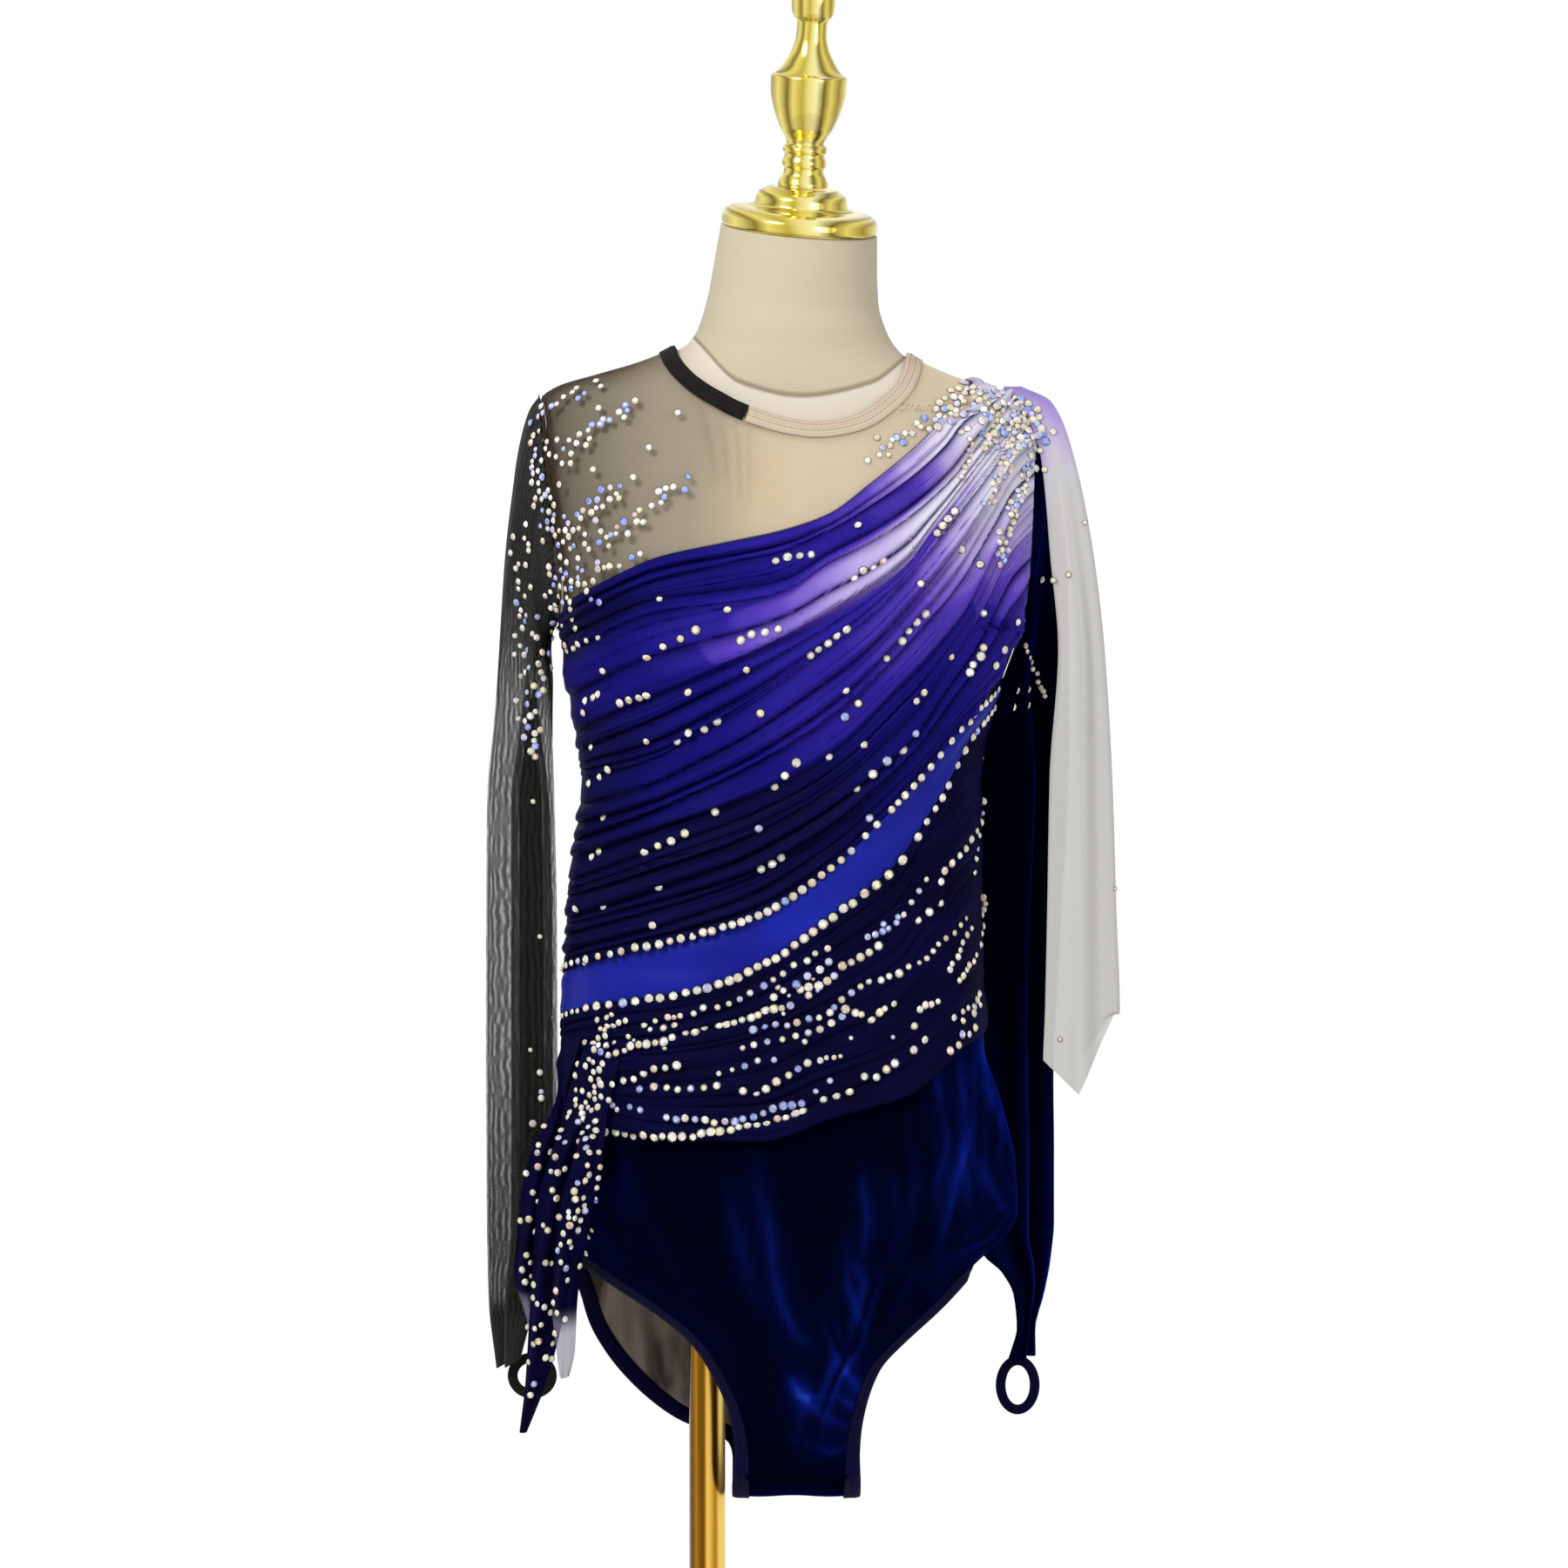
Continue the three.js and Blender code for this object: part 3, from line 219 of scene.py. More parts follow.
def seam(left_z, drawn, right_z):
    """A seam's height at each share of the way across, from points drawn on the front."""
    shares = [float(share_at(np.float64(x), np.float64(z))) for x, z in drawn]
    return curve_through([0, *shares, 1], [left_z, *(z for _, z in drawn), right_z])


def level(height):
    """A seam that keeps one height."""
    return lambda across: height + 0 * across


def neck_back(across):
    return lerp(NECKLINE_SIDE, NECKLINE_BACK, np.sin(np.pi * across))


NECK_MIDDLE, NECK_LEFT, NECK_RIGHT, NECK_DROP = 72, 100, 72, 53


def neck_height(across):
    """The height at which the front surface crosses the neckline's oval, drawn in the front view."""
    z = np.linspace(NECKLINE_SIDE - NECK_DROP - 4, NECKLINE_SIDE, 240)
    point = worn(np.full_like(z, across), z, True)
    side = point[:, 0] - NECK_MIDDLE
    power, reach = np.where(side < 0, 1.6, 2.0), np.where(side < 0, NECK_LEFT, NECK_RIGHT)
    oval = np.abs(side / reach) ** power + np.clip((NECKLINE_SIDE - z) / NECK_DROP, 0, 2) ** power
    inside = np.nonzero(oval < 1)[0]
    return float(z[inside[0]]) if len(inside) else float(NECKLINE_SIDE)


NECK_SHARES = np.r_[0, np.linspace(0.06, 0.94, 45), 1]
neck_front = curve_through(
    NECK_SHARES, [NECKLINE_SIDE, *(neck_height(a) for a in NECK_SHARES[1:-1]), NECKLINE_SIDE],
)
drape_top = seam(1170, [
    (-63, 1196), (-28, 1211), (13, 1220), (53, 1229), (83, 1240), (112, 1262), (135, 1281), (159, 1304),
    (175, 1326),
], 1333)
band_top = seam(
    921, [(-63, 940), (-11, 954), (42, 972), (88, 1004), (117, 1033), (147, 1065), (176, 1100)], 1127,
)
band_low = seam(891, [
    (-63, 909), (-11, 919), (42, 940), (88, 972), (129, 1004), (150, 1036), (164, 1059), (178, 1088),
], 1120)
drape_hem = seam(822, [(-69, 826), (-28, 822), (36, 822), (88, 838), (135, 850), (153, 862), (173, 880)], 890)
print(
    "neckline", round(float(neck_front(0.5))), "mm, hem of the drape", round(float(drape_hem(0.5))), "mm up",
)

# %% [markdown]
# ## Closed walls of cloth
# Cloth is modelled as a thin closed wall: an outer grid of points, an inner one, and a rim that joins them.
# A closed wall has a true edge where it is cut, and it casts and lets through light as cloth does.
# The grid also gives the cloth its own UV map in metres, so that a weave can follow it.

# %% The wall builder
DRESSED = {}  # every piece's points and faces, for setting stones on them
CREASE = math.radians(62)  # an edge sharper than this shows as an edge


def put(name, data):
    """An object with this data in the scene."""
    thing = bpy.data.objects.new(name, data)
    bpy.context.scene.collection.objects.link(thing)
    return thing


def mark_points(mesh, name, values):
    """Writes a number or a direction on each point of a mesh, for a finish or a node tree to read."""
    values = np.asarray(values, float)
    kind, field = ("FLOAT_VECTOR", "vector") if values.ndim == 2 else ("FLOAT", "value")
    mesh.attributes.new(name, kind, "POINT").data.foreach_set(field, values.ravel())


def mesh_object(name, points, faces, finishes=()):
    mesh = bpy.data.meshes.new(name)
    faces_listed = faces.tolist() if hasattr(faces, "tolist") else faces
    mesh.from_pydata((np.asarray(points) * MM).tolist(), [], faces_listed)
    for finish in finishes:
        mesh.materials.append(finish)
    mesh.shade_smooth()
    DRESSED[name] = (points, faces)
    return put(name + "_sewn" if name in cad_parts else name, mesh)


def closed_wall(name, inner, outer, ring=False, finishes=(), tints=None):
    rows, columns = inner.shape[:2]
    wide = columns + 1 if ring else columns
    index = np.arange(rows * columns).reshape(rows, columns)
    flat = np.arange(rows * wide).reshape(rows, wide)
    if ring:
        index = np.concatenate([index, index[:, :1]], axis=1)
    n = rows * columns

    def quads(grid):
        return np.stack([grid[:-1, :-1], grid[:-1, 1:], grid[1:, 1:], grid[1:, :-1]], -1).reshape(-1, 4)

    out_faces, in_faces = quads(index) + n, quads(index)[:, ::-1]
    rims, rim_uv = [], []

    def rim(line, place, flip):
        p, q = line[:-1], line[1:]
        face = np.stack([p, q, q + n, p + n], -1)
        mark = np.stack([place[:-1], place[1:], place[1:], place[:-1]], -1)
        rims.append(face[:, ::-1] if flip else face)
        rim_uv.append(mark[:, ::-1] if flip else mark)

    rim(index[0], flat[0], False)
    rim(index[-1], flat[-1], True)
    if not ring:
        rim(index[:, 0], flat[:, 0], True)
        rim(index[:, -1], flat[:, -1], False)
    faces = np.concatenate([out_faces, in_faces, *rims])
    marks = np.concatenate([quads(flat), quads(flat)[:, ::-1], *rim_uv])
    points = np.concatenate([inner.reshape(-1, 3), outer.reshape(-1, 3)])
    a, b, c, d = (points[faces[:, k]] for k in range(4))
    if (a * (np.cross(b, c) + np.cross(c, d))).sum() < 0:
        faces, marks = faces[:, ::-1], marks[:, ::-1]
    wrapped = np.concatenate([outer, outer[:, :1]], axis=1) if ring else outer
    u = np.r_[0, np.cumsum(np.linalg.norm(np.diff(wrapped, axis=1), axis=-1).mean(0))]
    v = np.r_[0, np.cumsum(np.linalg.norm(np.diff(wrapped, axis=0), axis=-1).mean(1))]
    uv = np.stack(np.meshgrid(u, v), -1).reshape(-1, 2) * MM
    piece = mesh_object(name, points, faces, finishes)
    layer = piece.data.uv_layers.new(name="cloth")
    layer.data.foreach_set("uv", uv[marks.ravel()].ravel())
    for tint, values in (tints or {}).items():
        mark_points(piece.data, tint, np.tile(np.ravel(values), 2))
    if len(finishes) > 1:
        slots = np.zeros(len(faces), int)
        slots[len(out_faces):len(out_faces) + len(in_faces)] = 1
        piece.data.polygons.foreach_set("material_index", slots)
    piece.data.set_sharp_from_angle(angle=CREASE)
    area = sum(p.area for p in piece.data.polygons) / 2
    print(f"{name}: {len(faces)} faces, one side is {area:.4f} square metres")
    return piece


# %% [markdown]
# ## Shader maths
# A finish is easier to read as a sum than as a web of nodes. Shade wraps a socket, and Python's own operators
# add Math nodes. Colours never pass through a Math node, which would turn them grey: they go through Mix.

# %% Shade and Finish


class Shade:
    def __init__(self, finish, socket):
        self.finish, self.socket = finish, socket

    def maths(self, operation, first, second=None, clamp=False):
        values = {0: first} if second is None else {0: first, 1: second}
        node = self.finish.node("ShaderNodeMath", {"operation": operation, "use_clamp": clamp}, values)
        return Shade(self.finish, node.outputs[0])

    def clamped(self):
        return self.maths("ADD", self, 0.0, clamp=True)


# Python calls __add__ for shade + 1 and __radd__ for 1 + shade, and so on for the other signs
for sign, operation in (("add", "ADD"), ("sub", "SUBTRACT"), ("mul", "MULTIPLY"), ("pow", "POWER")):
    setattr(Shade, f"__{sign}__", lambda self, other, kind=operation: self.maths(kind, self, other))
    setattr(Shade, f"__r{sign}__", lambda self, other, kind=operation: self.maths(kind, other, self))


def add_node(tree, kind, settings=None, values=None):
    """One node with its settings and inputs. An input is a value, or a socket or Shade that feeds it."""
    node = tree.nodes.new(kind)
    settings = dict(settings or {})
    stops = settings.pop("stops", ())
    for key, value in settings.items():
        setattr(node, key, value)
    while stops and len(node.color_ramp.elements) < len(stops):
        node.color_ramp.elements.new(0.5)
    for k, (place, colour) in enumerate(stops):
        node.color_ramp.elements[k].position, node.color_ramp.elements[k].color = place, colour
    for key, value in (values or {}).items():
        # Of several inputs with one name, the one that takes a plain number
        same = [s for s in node.inputs if s.name == key and s.type == "VALUE"]
        socket = same[0] if same and list(node.inputs.keys()).count(key) > 1 else node.inputs[key]
        value = value.socket if isinstance(value, Shade) else value
        if isinstance(value, bpy.types.NodeSocket):
            tree.links.new(value, socket)
        else:
            socket.default_value = value
    return node


def rgb(code):
    """A colour from its six-letter code, in linear light."""
    parts = [int(code[i:i + 2], 16) / 255 for i in (0, 2, 4)]
    return tuple(p / 12.92 if p <= 0.04045 else ((p + 0.055) / 1.055) ** 2.4 for p in parts) + (1.0,)


class Finish:
    """A material with one Principled shader. Uniform values are set on its own sockets."""

    def __init__(self, name, **uniform):
        self.material = bpy.data.materials.new(name)
        self.material.use_nodes = True
        self.tree = self.material.node_tree
        self.tree.nodes.clear()
        self.shader = self.tree.nodes.new("ShaderNodeBsdfPrincipled")
        end = self.tree.nodes.new("ShaderNodeOutputMaterial")
        self.tree.links.new(self.shader.outputs[0], end.inputs[0])
        for key, value in uniform.items():
            self.shader.inputs[key.replace("_", " ")].default_value = value

    def node(self, kind, settings=None, values=None):
        return add_node(self.tree, kind, settings, values)

    def where(self, scale=(1, 1, 1), uv=False):
        """The piece's own coordinates, or its cloth's, in metres times scale."""
        place = self.node("ShaderNodeUVMap", {"uv_map": "cloth"}) if uv else self.node("ShaderNodeTexCoord")
        place = place.outputs[0 if uv else "Object"]
        return self.node("ShaderNodeMapping", None, {"Vector": place, "Scale": scale}).outputs[0]

    def noise(self, scale, detail=2.0, stretch=(1, 1, 1), uv=False, rough=0.5, distortion=0.0):
        values = {
            "Vector": self.where(stretch, uv), "Scale": scale, "Detail": detail, "Roughness": rough,
            "Distortion": distortion,
        }
        return Shade(self, self.node("ShaderNodeTexNoise", None, values).outputs["Fac"])

    def threads(self, per_metre, direction="X", uv=True, distortion=0.0, detail=0.0):
        values = {
            "Vector": self.where(uv=uv), "Scale": per_metre * 0.314, "Distortion": distortion,
            "Detail": detail,
        }
        node = self.node("ShaderNodeTexWave", {"wave_type": "BANDS", "bands_direction": direction}, values)
        return Shade(self, node.outputs["Fac"])

    def facing_away(self, blend):
        """0 where the surface looks at the viewer and 1 where it turns edge-on."""
        return Shade(self, self.node("ShaderNodeLayerWeight", None, {"Blend": blend}).outputs["Facing"])

    def attribute(self, name):
        return Shade(self, self.node("ShaderNodeAttribute", {"attribute_name": name}).outputs["Fac"])

    def ramp(self, value, *stops):
        stops = [(place, rgb(code)) for place, code in stops]
        return self.node("ShaderNodeValToRGB", {"stops": stops}, {"Fac": value}).outputs["Color"]

    def blend(self, factor, first, second, kind="MIX"):
        first = rgb(first) if isinstance(first, str) else first
        second = rgb(second) if isinstance(second, str) else second
        settings = {"data_type": "RGBA", "blend_type": kind}
        return self.node("ShaderNodeMix", settings, {0: factor, 6: first, 7: second}).outputs[2]

    def feed(self, name, value):
        socket = self.shader.inputs[name]
        self.tree.links.new(value.socket if isinstance(value, Shade) else value, socket)

    def bump(self, height, depth, strength=1.0):
        node = self.node("ShaderNodeBump", None, {"Height": height, "Distance": depth, "Strength": strength})
        self.feed("Normal", node.outputs[0])


# %% [markdown]
# ## Cloth finishes
# Velvet is almost black from the front. The blue where its nap turns away, on the sides of its folds and in a
# few soft streaks is painted sheen in its base colour, on top of the shader's own sheen and broken up by a
# nap-wide mottling. The drape is dip-dyed chiffon: its dye is worked out for each point of the cloth and read
# here through one ramp from white over lilac and violet to navy, and its grooves are darkened with painted
# shade. Net is a see-through weave, so its alpha carries the look.

# %% Velvet
velvet = Finish(
    "velvet_navy", Roughness=1.0, Sheen_Weight=0.25, Sheen_Roughness=0.3, Sheen_Tint=rgb("1226d0"),
    Specular_IOR_Level=0.0,
)
# The blue below is painted sheen in the base colour: it grows where the cloth turns edge-on, on the sides of
# folds and along laid streaks
turning = velvet.facing_away(0.35)
nap = velvet.noise(11, 3, (1, 1, 0.3), distortion=0.8)
flank = velvet.attribute("flank")
streak = velvet.attribute("streak") * (velvet.noise(34, 3, (1, 1, 0.2)) * 2.2 - 0.45)
sheen_place = (
    turning ** 1.6 * (nap * 1.3 - 0.15) + flank * (nap * 0.9) + streak * 0.55 + nap * 0.06
).clamped()
velvet.feed(
    "Base Color",
    velvet.ramp(sheen_place, (0.05, "010314"), (0.25, "030a36"), (0.6, "0b1b78"), (1.0, "2446c4")),
)
velvet.bump(velvet.noise(900, 2, rough=0.7) + nap * 2.0, 0.0006, 0.5)

# %% The lining side of velvet, a dull grey-brown knit
lining = Finish("velvet_back", Roughness=0.95, Sheen_Weight=0.2)
# Its dark and light upright streaks are painted shade and light of soft folds in the knit
lining.feed(
    "Base Color",
    lining.blend(((lining.noise(55, 2, (1, 1, 0.1)) - 0.35) * 3.2).clamped(), "968d82", "35302c"),
)
lining.bump(lining.noise(700, 2), 0.0004, 0.4)
VELVET = [velvet.material, lining.material]  # outside and inside

# %% Dip-dyed chiffon
drape = Finish(
    "drape_print", Roughness=0.6, Sheen_Weight=0.03, Sheen_Roughness=0.4, Sheen_Tint=rgb("8f88ff"),
    Specular_IOR_Level=0.04,
)
dye = drape.attribute("dye") + (drape.noise(30, 3, (1, 1, 1.6)) - 0.5) * 0.07
dyed = drape.ramp(
    dye, (0.0, "eceaf3"), (0.12, "d3cbea"), (0.27, "9f88da"), (0.42, "5f45be"), (0.58, "30229a"),
    (0.72, "17117a"), (0.86, "0a0848"), (0.97, "060532"), (1.0, "01020f"),
)
# Grooves between pleats are darkened by multiplying in a dull violet: painted shade
drape.feed(
    "Base Color", drape.blend((drape.attribute("groove") * 1.25).clamped(), dyed, "423d7a", "MULTIPLY"),
)
drape.bump(drape.noise(420, 2, (1, 1, 3)) + drape.threads(1600, "DIAGONAL") * 0.4, 0.0004, 0.35)

# %% Navy chiffon
navy = Finish(
    "drape_navy", Roughness=0.65, Sheen_Weight=0.02, Sheen_Roughness=0.4, Sheen_Tint=rgb("3a38c8"),
    Specular_IOR_Level=0.03,
)
navy_dye = navy.ramp(navy.noise(22, 3, (1, 1, 2)), (0.25, "03021d"), (0.75, "090736"))
navy.feed("Base Color", navy.blend(navy.attribute("sheer"), navy_dye, "8f8da6"))
navy.feed("Alpha", 1.0 - navy.attribute("sheer") * 0.55)
navy.bump(navy.noise(420, 2, (1, 1, 3)), 0.0004, 0.35)

# %% The blue band, a smooth stretch satin
band_blue = Finish("band_blue", Roughness=0.45, Sheen_Weight=0.04, Specular_IOR_Level=0.12)
band_blue.feed("Base Color", band_blue.ramp(band_blue.noise(12, 2), (0.3, "0d1788"), (0.7, "1422a4")))
band_blue.bump(band_blue.noise(1900, 1) * 0.5 + band_blue.noise(60, 2) * 1.4, 0.0003, 0.3)

# %% Net: black by the left arm, skin-coloured from the middle on
net_yoke = Finish("net_yoke", Roughness=0.75, Specular_IOR_Level=0.2)
place = net_yoke.attribute("skin") + (net_yoke.noise(16, 2, (1, 1, 0.3)) - 0.5) * 0.1
net_yoke.feed("Base Color", net_yoke.ramp(
    place, (0.0, "2b1d0d"), (0.3, "473828"), (0.6, "8f8370"), (0.85, "e8d7b6"), (1.0, "efdfc2"),
))
cells = net_yoke.noise(1500, 0, uv=True) * 0.1
edge_on = net_yoke.facing_away(0.5)
covering = (place - 0.5) * (place - 0.5) * 0.75 + cells + 0.16 + edge_on ** 3 * 0.7
net_yoke.feed("Alpha", (covering + net_yoke.attribute("seam") * 0.5).clamped())

net_black = Finish("net_black", Roughness=0.7, Specular_IOR_Level=0.25)
grain = net_black.threads(190, "X", distortion=6.5, detail=2.0)
net_black.feed("Base Color", net_black.blend(grain, "030303", "191815"))
dense = net_black.attribute("dense")
edge_on = net_black.facing_away(0.5)
covering = grain * 0.3 + net_black.noise(24, 2, (1, 0.2, 1), uv=True) * 0.12 + dense * 0.5
net_black.feed("Alpha", (covering + 0.1 + edge_on ** 3 * 0.6).clamped())

# %% White chiffon, dyed lilac at its gathered top
chiffon = Finish("chiffon_white", Roughness=0.7, Sheen_Weight=0.2, Specular_IOR_Level=0.2)
chiffon.feed("Base Color", chiffon.ramp(
    chiffon.attribute("dye"), (0.0, "9d84d6"), (0.35, "c0afe6"), (0.75, "dad6e4"), (1.0, "dad8d4"),
))
chiffon.feed("Alpha", chiffon.noise(8, 1, (1, 0.12, 1), uv=True) * 0.2 + 0.66)
chiffon.bump(chiffon.noise(300, 2), 0.0002, 0.2)

# %% Elastics, ribbed along their length
elastics = {}
for name, dark, light in (
    ("elastic_black", "0a0908", "262320"), ("elastic_skin", "c0ac96", "dac9b6"),
    ("elastic_navy", "020116", "08063c"),
):
    elastic = Finish(name, Roughness=0.75, Sheen_Weight=0.0, Specular_IOR_Level=0.08)
    ribs = elastic.threads(700, "Y")
    elastic.feed("Base Color", elastic.blend(ribs * 0.6 + elastic.noise(120, 2) * 0.4, dark, light))
    elastic.bump(ribs + elastic.noise(800, 2) * 0.5, 0.0003, 0.5)
    elastics[name] = elastic.material

# %% The form's cream cover: a plain weave with faint stains
form_cover = Finish("form_cover", Roughness=0.85, Sheen_Weight=0.1, Specular_IOR_Level=0.25)
weave = form_cover.noise(650, 2, (1, 1, 0.4)) * 0.5 + form_cover.noise(650, 2, (0.4, 0.4, 1)) * 0.5
stained = (form_cover.noise(7, 3) * 0.7 + weave * 0.3 - 0.5) * 0.03
# The cream just below the neck seam, inside the neckline (stops 0.3 and 0.475), is set to the shade that
# falls there: painted shade
form_cover.feed("Base Color", form_cover.ramp(
    form_cover.attribute("neck") + stained, (0.0, "d2c7af"), (0.3, "d6ccb8"), (0.475, "ddd4c4"),
    (0.492, "9a8e76"),
    (0.508, "9a8e76"), (0.53, "c8bca2"), (1.0, "cfc4aa"),
))
form_cover.bump(weave, 0.0005, 0.4)

# %% Gold: polished on the cap, brushed on the pole
gold = Finish("gold_polished", Metallic=1.0, Roughness=0.14)
side_way = gold.node(
    "ShaderNodeSeparateXYZ", None, {0: gold.node("ShaderNodeNewGeometry").outputs["Normal"]},
).outputs["X"]
# Turned gold mirrors the dark and bright sides of a room as upright bands; here that reflection is painted
# into its colour by the way each point faces
painted_room_reflection = gold.ramp(
    Shade(gold, side_way) * 0.5 + 0.5 + (gold.noise(25, 2) - 0.5) * 0.05, (0.0, "7a6420"), (0.1, "f3e27e"),
    (0.22, "6b5516"), (0.3, "efdd76"), (0.42, "bfa93c"), (0.5, "f0e088"), (0.6, "fff5b0"), (0.7, "57440f"),
    (0.8, "e5d26a"), (0.9, "8d7628"), (1.0, "f3e27e"),
)
gold.feed("Base Color", gold.blend(gold.noise(18, 3) * 0.3, painted_room_reflection, "dcc95c"))
gold.feed("Roughness", gold.noise(40, 3) * 0.12 + 0.07)
gold.bump(gold.noise(90, 2), 0.0003, 0.25)
pole_gold = Finish("gold_satin", Metallic=1.0, Roughness=0.25)
# The pole's dark and bright upright streaks are its brushed grain and also a painted reflection of the room
grain_and_reflection = ((pole_gold.noise(130, 2, (1, 1, 0.004)) - 0.36) * 3.4).clamped()
pole_gold.feed("Base Color", pole_gold.ramp(
    grain_and_reflection, (0.0, "6f4a10"), (0.35, "b07d22"), (0.6, "dba63c"), (1.0, "f6d272"),
))
pole_gold.feed("Roughness", grain_and_reflection * 0.2 + 0.16)
pole_gold.bump(grain_and_reflection, 0.0002, 0.3)
print("finishes:", len(bpy.data.materials))

# %% [markdown]
# ## Folds
# Pleats that fan out from one shoulder are never alike: they wander, swell and die away. Here each pleat has
# its own width and drift, drawn once from a fixed seed, and a finer crease pattern rides on top of it.
# Single drag lines, as on the velvet, are laid one by one along a drawn path.

# %% Pleats and folds laid one by one
MOST_PLEATS = 200


def pleats(along, share, count, seed, drift=0.3):
    """For each point, which pleat it is in and how far through it, as one rising number."""
    rng = np.random.default_rng(seed)
    starts = np.r_[0, np.cumsum(rng.uniform(0.45, 1.55, count))]
    starts *= count / starts[-1]
    slow, quick = rng.uniform(0.25, 0.7, (count + 1, 1, 1)), rng.uniform(0.8, 1.5, (count + 1, 1, 1))
    turn = rng.uniform(0, 1, (count + 1, 2))[:, :, None]
    waves = (
        np.sin(2 * np.pi * (slow * along + turn[:, :1]))
        + 0.35 * np.sin(2 * np.pi * (quick * along + turn[:, 1:]))
    )
    waves[0] = waves[-1] = 0
    valleys = np.maximum.accumulate((starts[:, None, None] + drift * waves) / count, axis=0)
    return sum(
        np.clip((share - low) / np.maximum(high - low, 1e-6), 0, 1) for low, high in zip(valleys, valleys[1:])
    )


def crest(phase, skew=0.8, power=2.2):
    x = (phase % 1) ** skew
    return 1 - np.abs(2 * x - 1) ** power


def fold_sizes(phase, across, seed, least=0.3):
    """Each pleat's own height along its length, from least to 1."""
    rng = np.random.default_rng(seed)
    k = np.clip(np.floor(phase).astype(int), 0, MOST_PLEATS - 1)
    speed, turn = rng.uniform(0.3, 1.3, MOST_PLEATS), rng.uniform(0, 1, MOST_PLEATS)
    wave = 0.5 + 0.5 * np.sin(2 * np.pi * (speed[k] * across + turn[k]))
    return least + (1 - least) * wave


def laid_folds(x, z, folds):
    """The lift of folds laid one by one. A fold is its path, its half width and its height, all in
    millimetres.
    """
    lift = np.zeros_like(x)
    for path, width, height in folds:
        path = np.array(path, float)
        lengths = run_along(path)
        nearest, along = np.full(x.shape, 1e9), np.zeros_like(x)
        for i in range(len(path) - 1):
            (px, pz), (dx, dz) = path[i], path[i + 1] - path[i]
            t = np.clip(((x - px) * dx + (z - pz) * dz) / (dx * dx + dz * dz), 0, 1)
            far = np.hypot(x - px - dx * t, z - pz - dz * t)
            along = np.where(
                far < nearest, (lengths[i] + t * (lengths[i + 1] - lengths[i])) / lengths[-1], along,
            )
            nearest = np.minimum(far, nearest)
        lift += height * np.exp(-((nearest / width) ** 2)) * np.sin(np.pi * np.clip(along, 0.03, 0.97)) ** 0.6
    return lift


def panel(name, front, low, high, columns, rows, lift, thickness, finishes, tints=None, warp=None, crowd=1.0):
    """A panel of the worn surface between two seams. crowd above 1 sets its columns closer at the right."""
    across = (1 - (1 - np.linspace(0, 1, columns + 1)) ** crowd)[None, :] * np.ones((rows + 1, 1))
    share = np.linspace(0, 1, rows + 1)[:, None] * np.ones((1, columns + 1))
    placed = warp(across, share) if warp else share
    z = lerp(low(across) + GAP, high(across) - GAP, placed)
    base, out = worn(across, z, front), worn_out(across, z, front)
    base[..., 1] += (-GAP if front else GAP) * smooth(0.9, 1, np.abs(2 * across - 1))
    height = lift(across, share, base) if lift else np.zeros_like(across)
    inner, outer = base + out * height[..., None], base + out * (height + thickness)[..., None]
    marks = {key: tint(across, share, base) for key, tint in (tints or {}).items()}
    if finishes[0] is velvet.material:
        marks["flank"] = flanks(outer, out)
    return closed_wall(name, inner, outer, False, finishes, marks)


def flanks(points, out):
    """How steeply each point stands off the smooth surface: the sides of folds, where blue sheen is painted
    on the velvet.
    """
    along, up = np.gradient(points, axis=1), np.gradient(points, axis=0)
    real = unit(np.cross(along, up))
    real = real * np.sign((real * out).sum(-1, keepdims=True))
    return np.clip((1 - np.abs((real * out).sum(-1))) * 6, 0, 1) ** 0.7


def stand_for(piece, node, slot):
    """The piece rides on the part, and shows in place of its solid."""
    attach(piece, "root")
    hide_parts(node)


def dress(piece, slot):
    """The cloth piece stands for its solid."""
    stand_for(piece, piece.name.removesuffix("_sewn"), slot)


# %% [markdown]
# ## The upper drape
# The real drape is one chiffon piece, gathered hard at the right shoulder and spread over the bust to the
# left side seam. Its pleats fan out, so they crowd at the shoulder. The dye follows the gathers too: white
# runs further down some pleats than others.

# %% Upper drape
SHOULDER = np.array([198.0, 1302.0])
WHITE_REACH = curve_through(
    [0, 0.1, 0.25, 0.33, 0.42, 0.5, 0.6, 0.68, 0.72, 0.79, 0.84, 0.9, 0.95, 1.0],
    [70, 70, 75, 70, 88, 80, 60, 62, 140, 140, 50, 45, 68, 68])
VIOLET_REACH = curve_through(
    [0, 0.25, 0.33, 0.36, 0.5, 0.6, 0.7, 0.75, 0.8, 0.86, 0.92, 1.0],
    [150, 125, 125, 225, 225, 195, 205, 245, 225, 135, 155, 175])
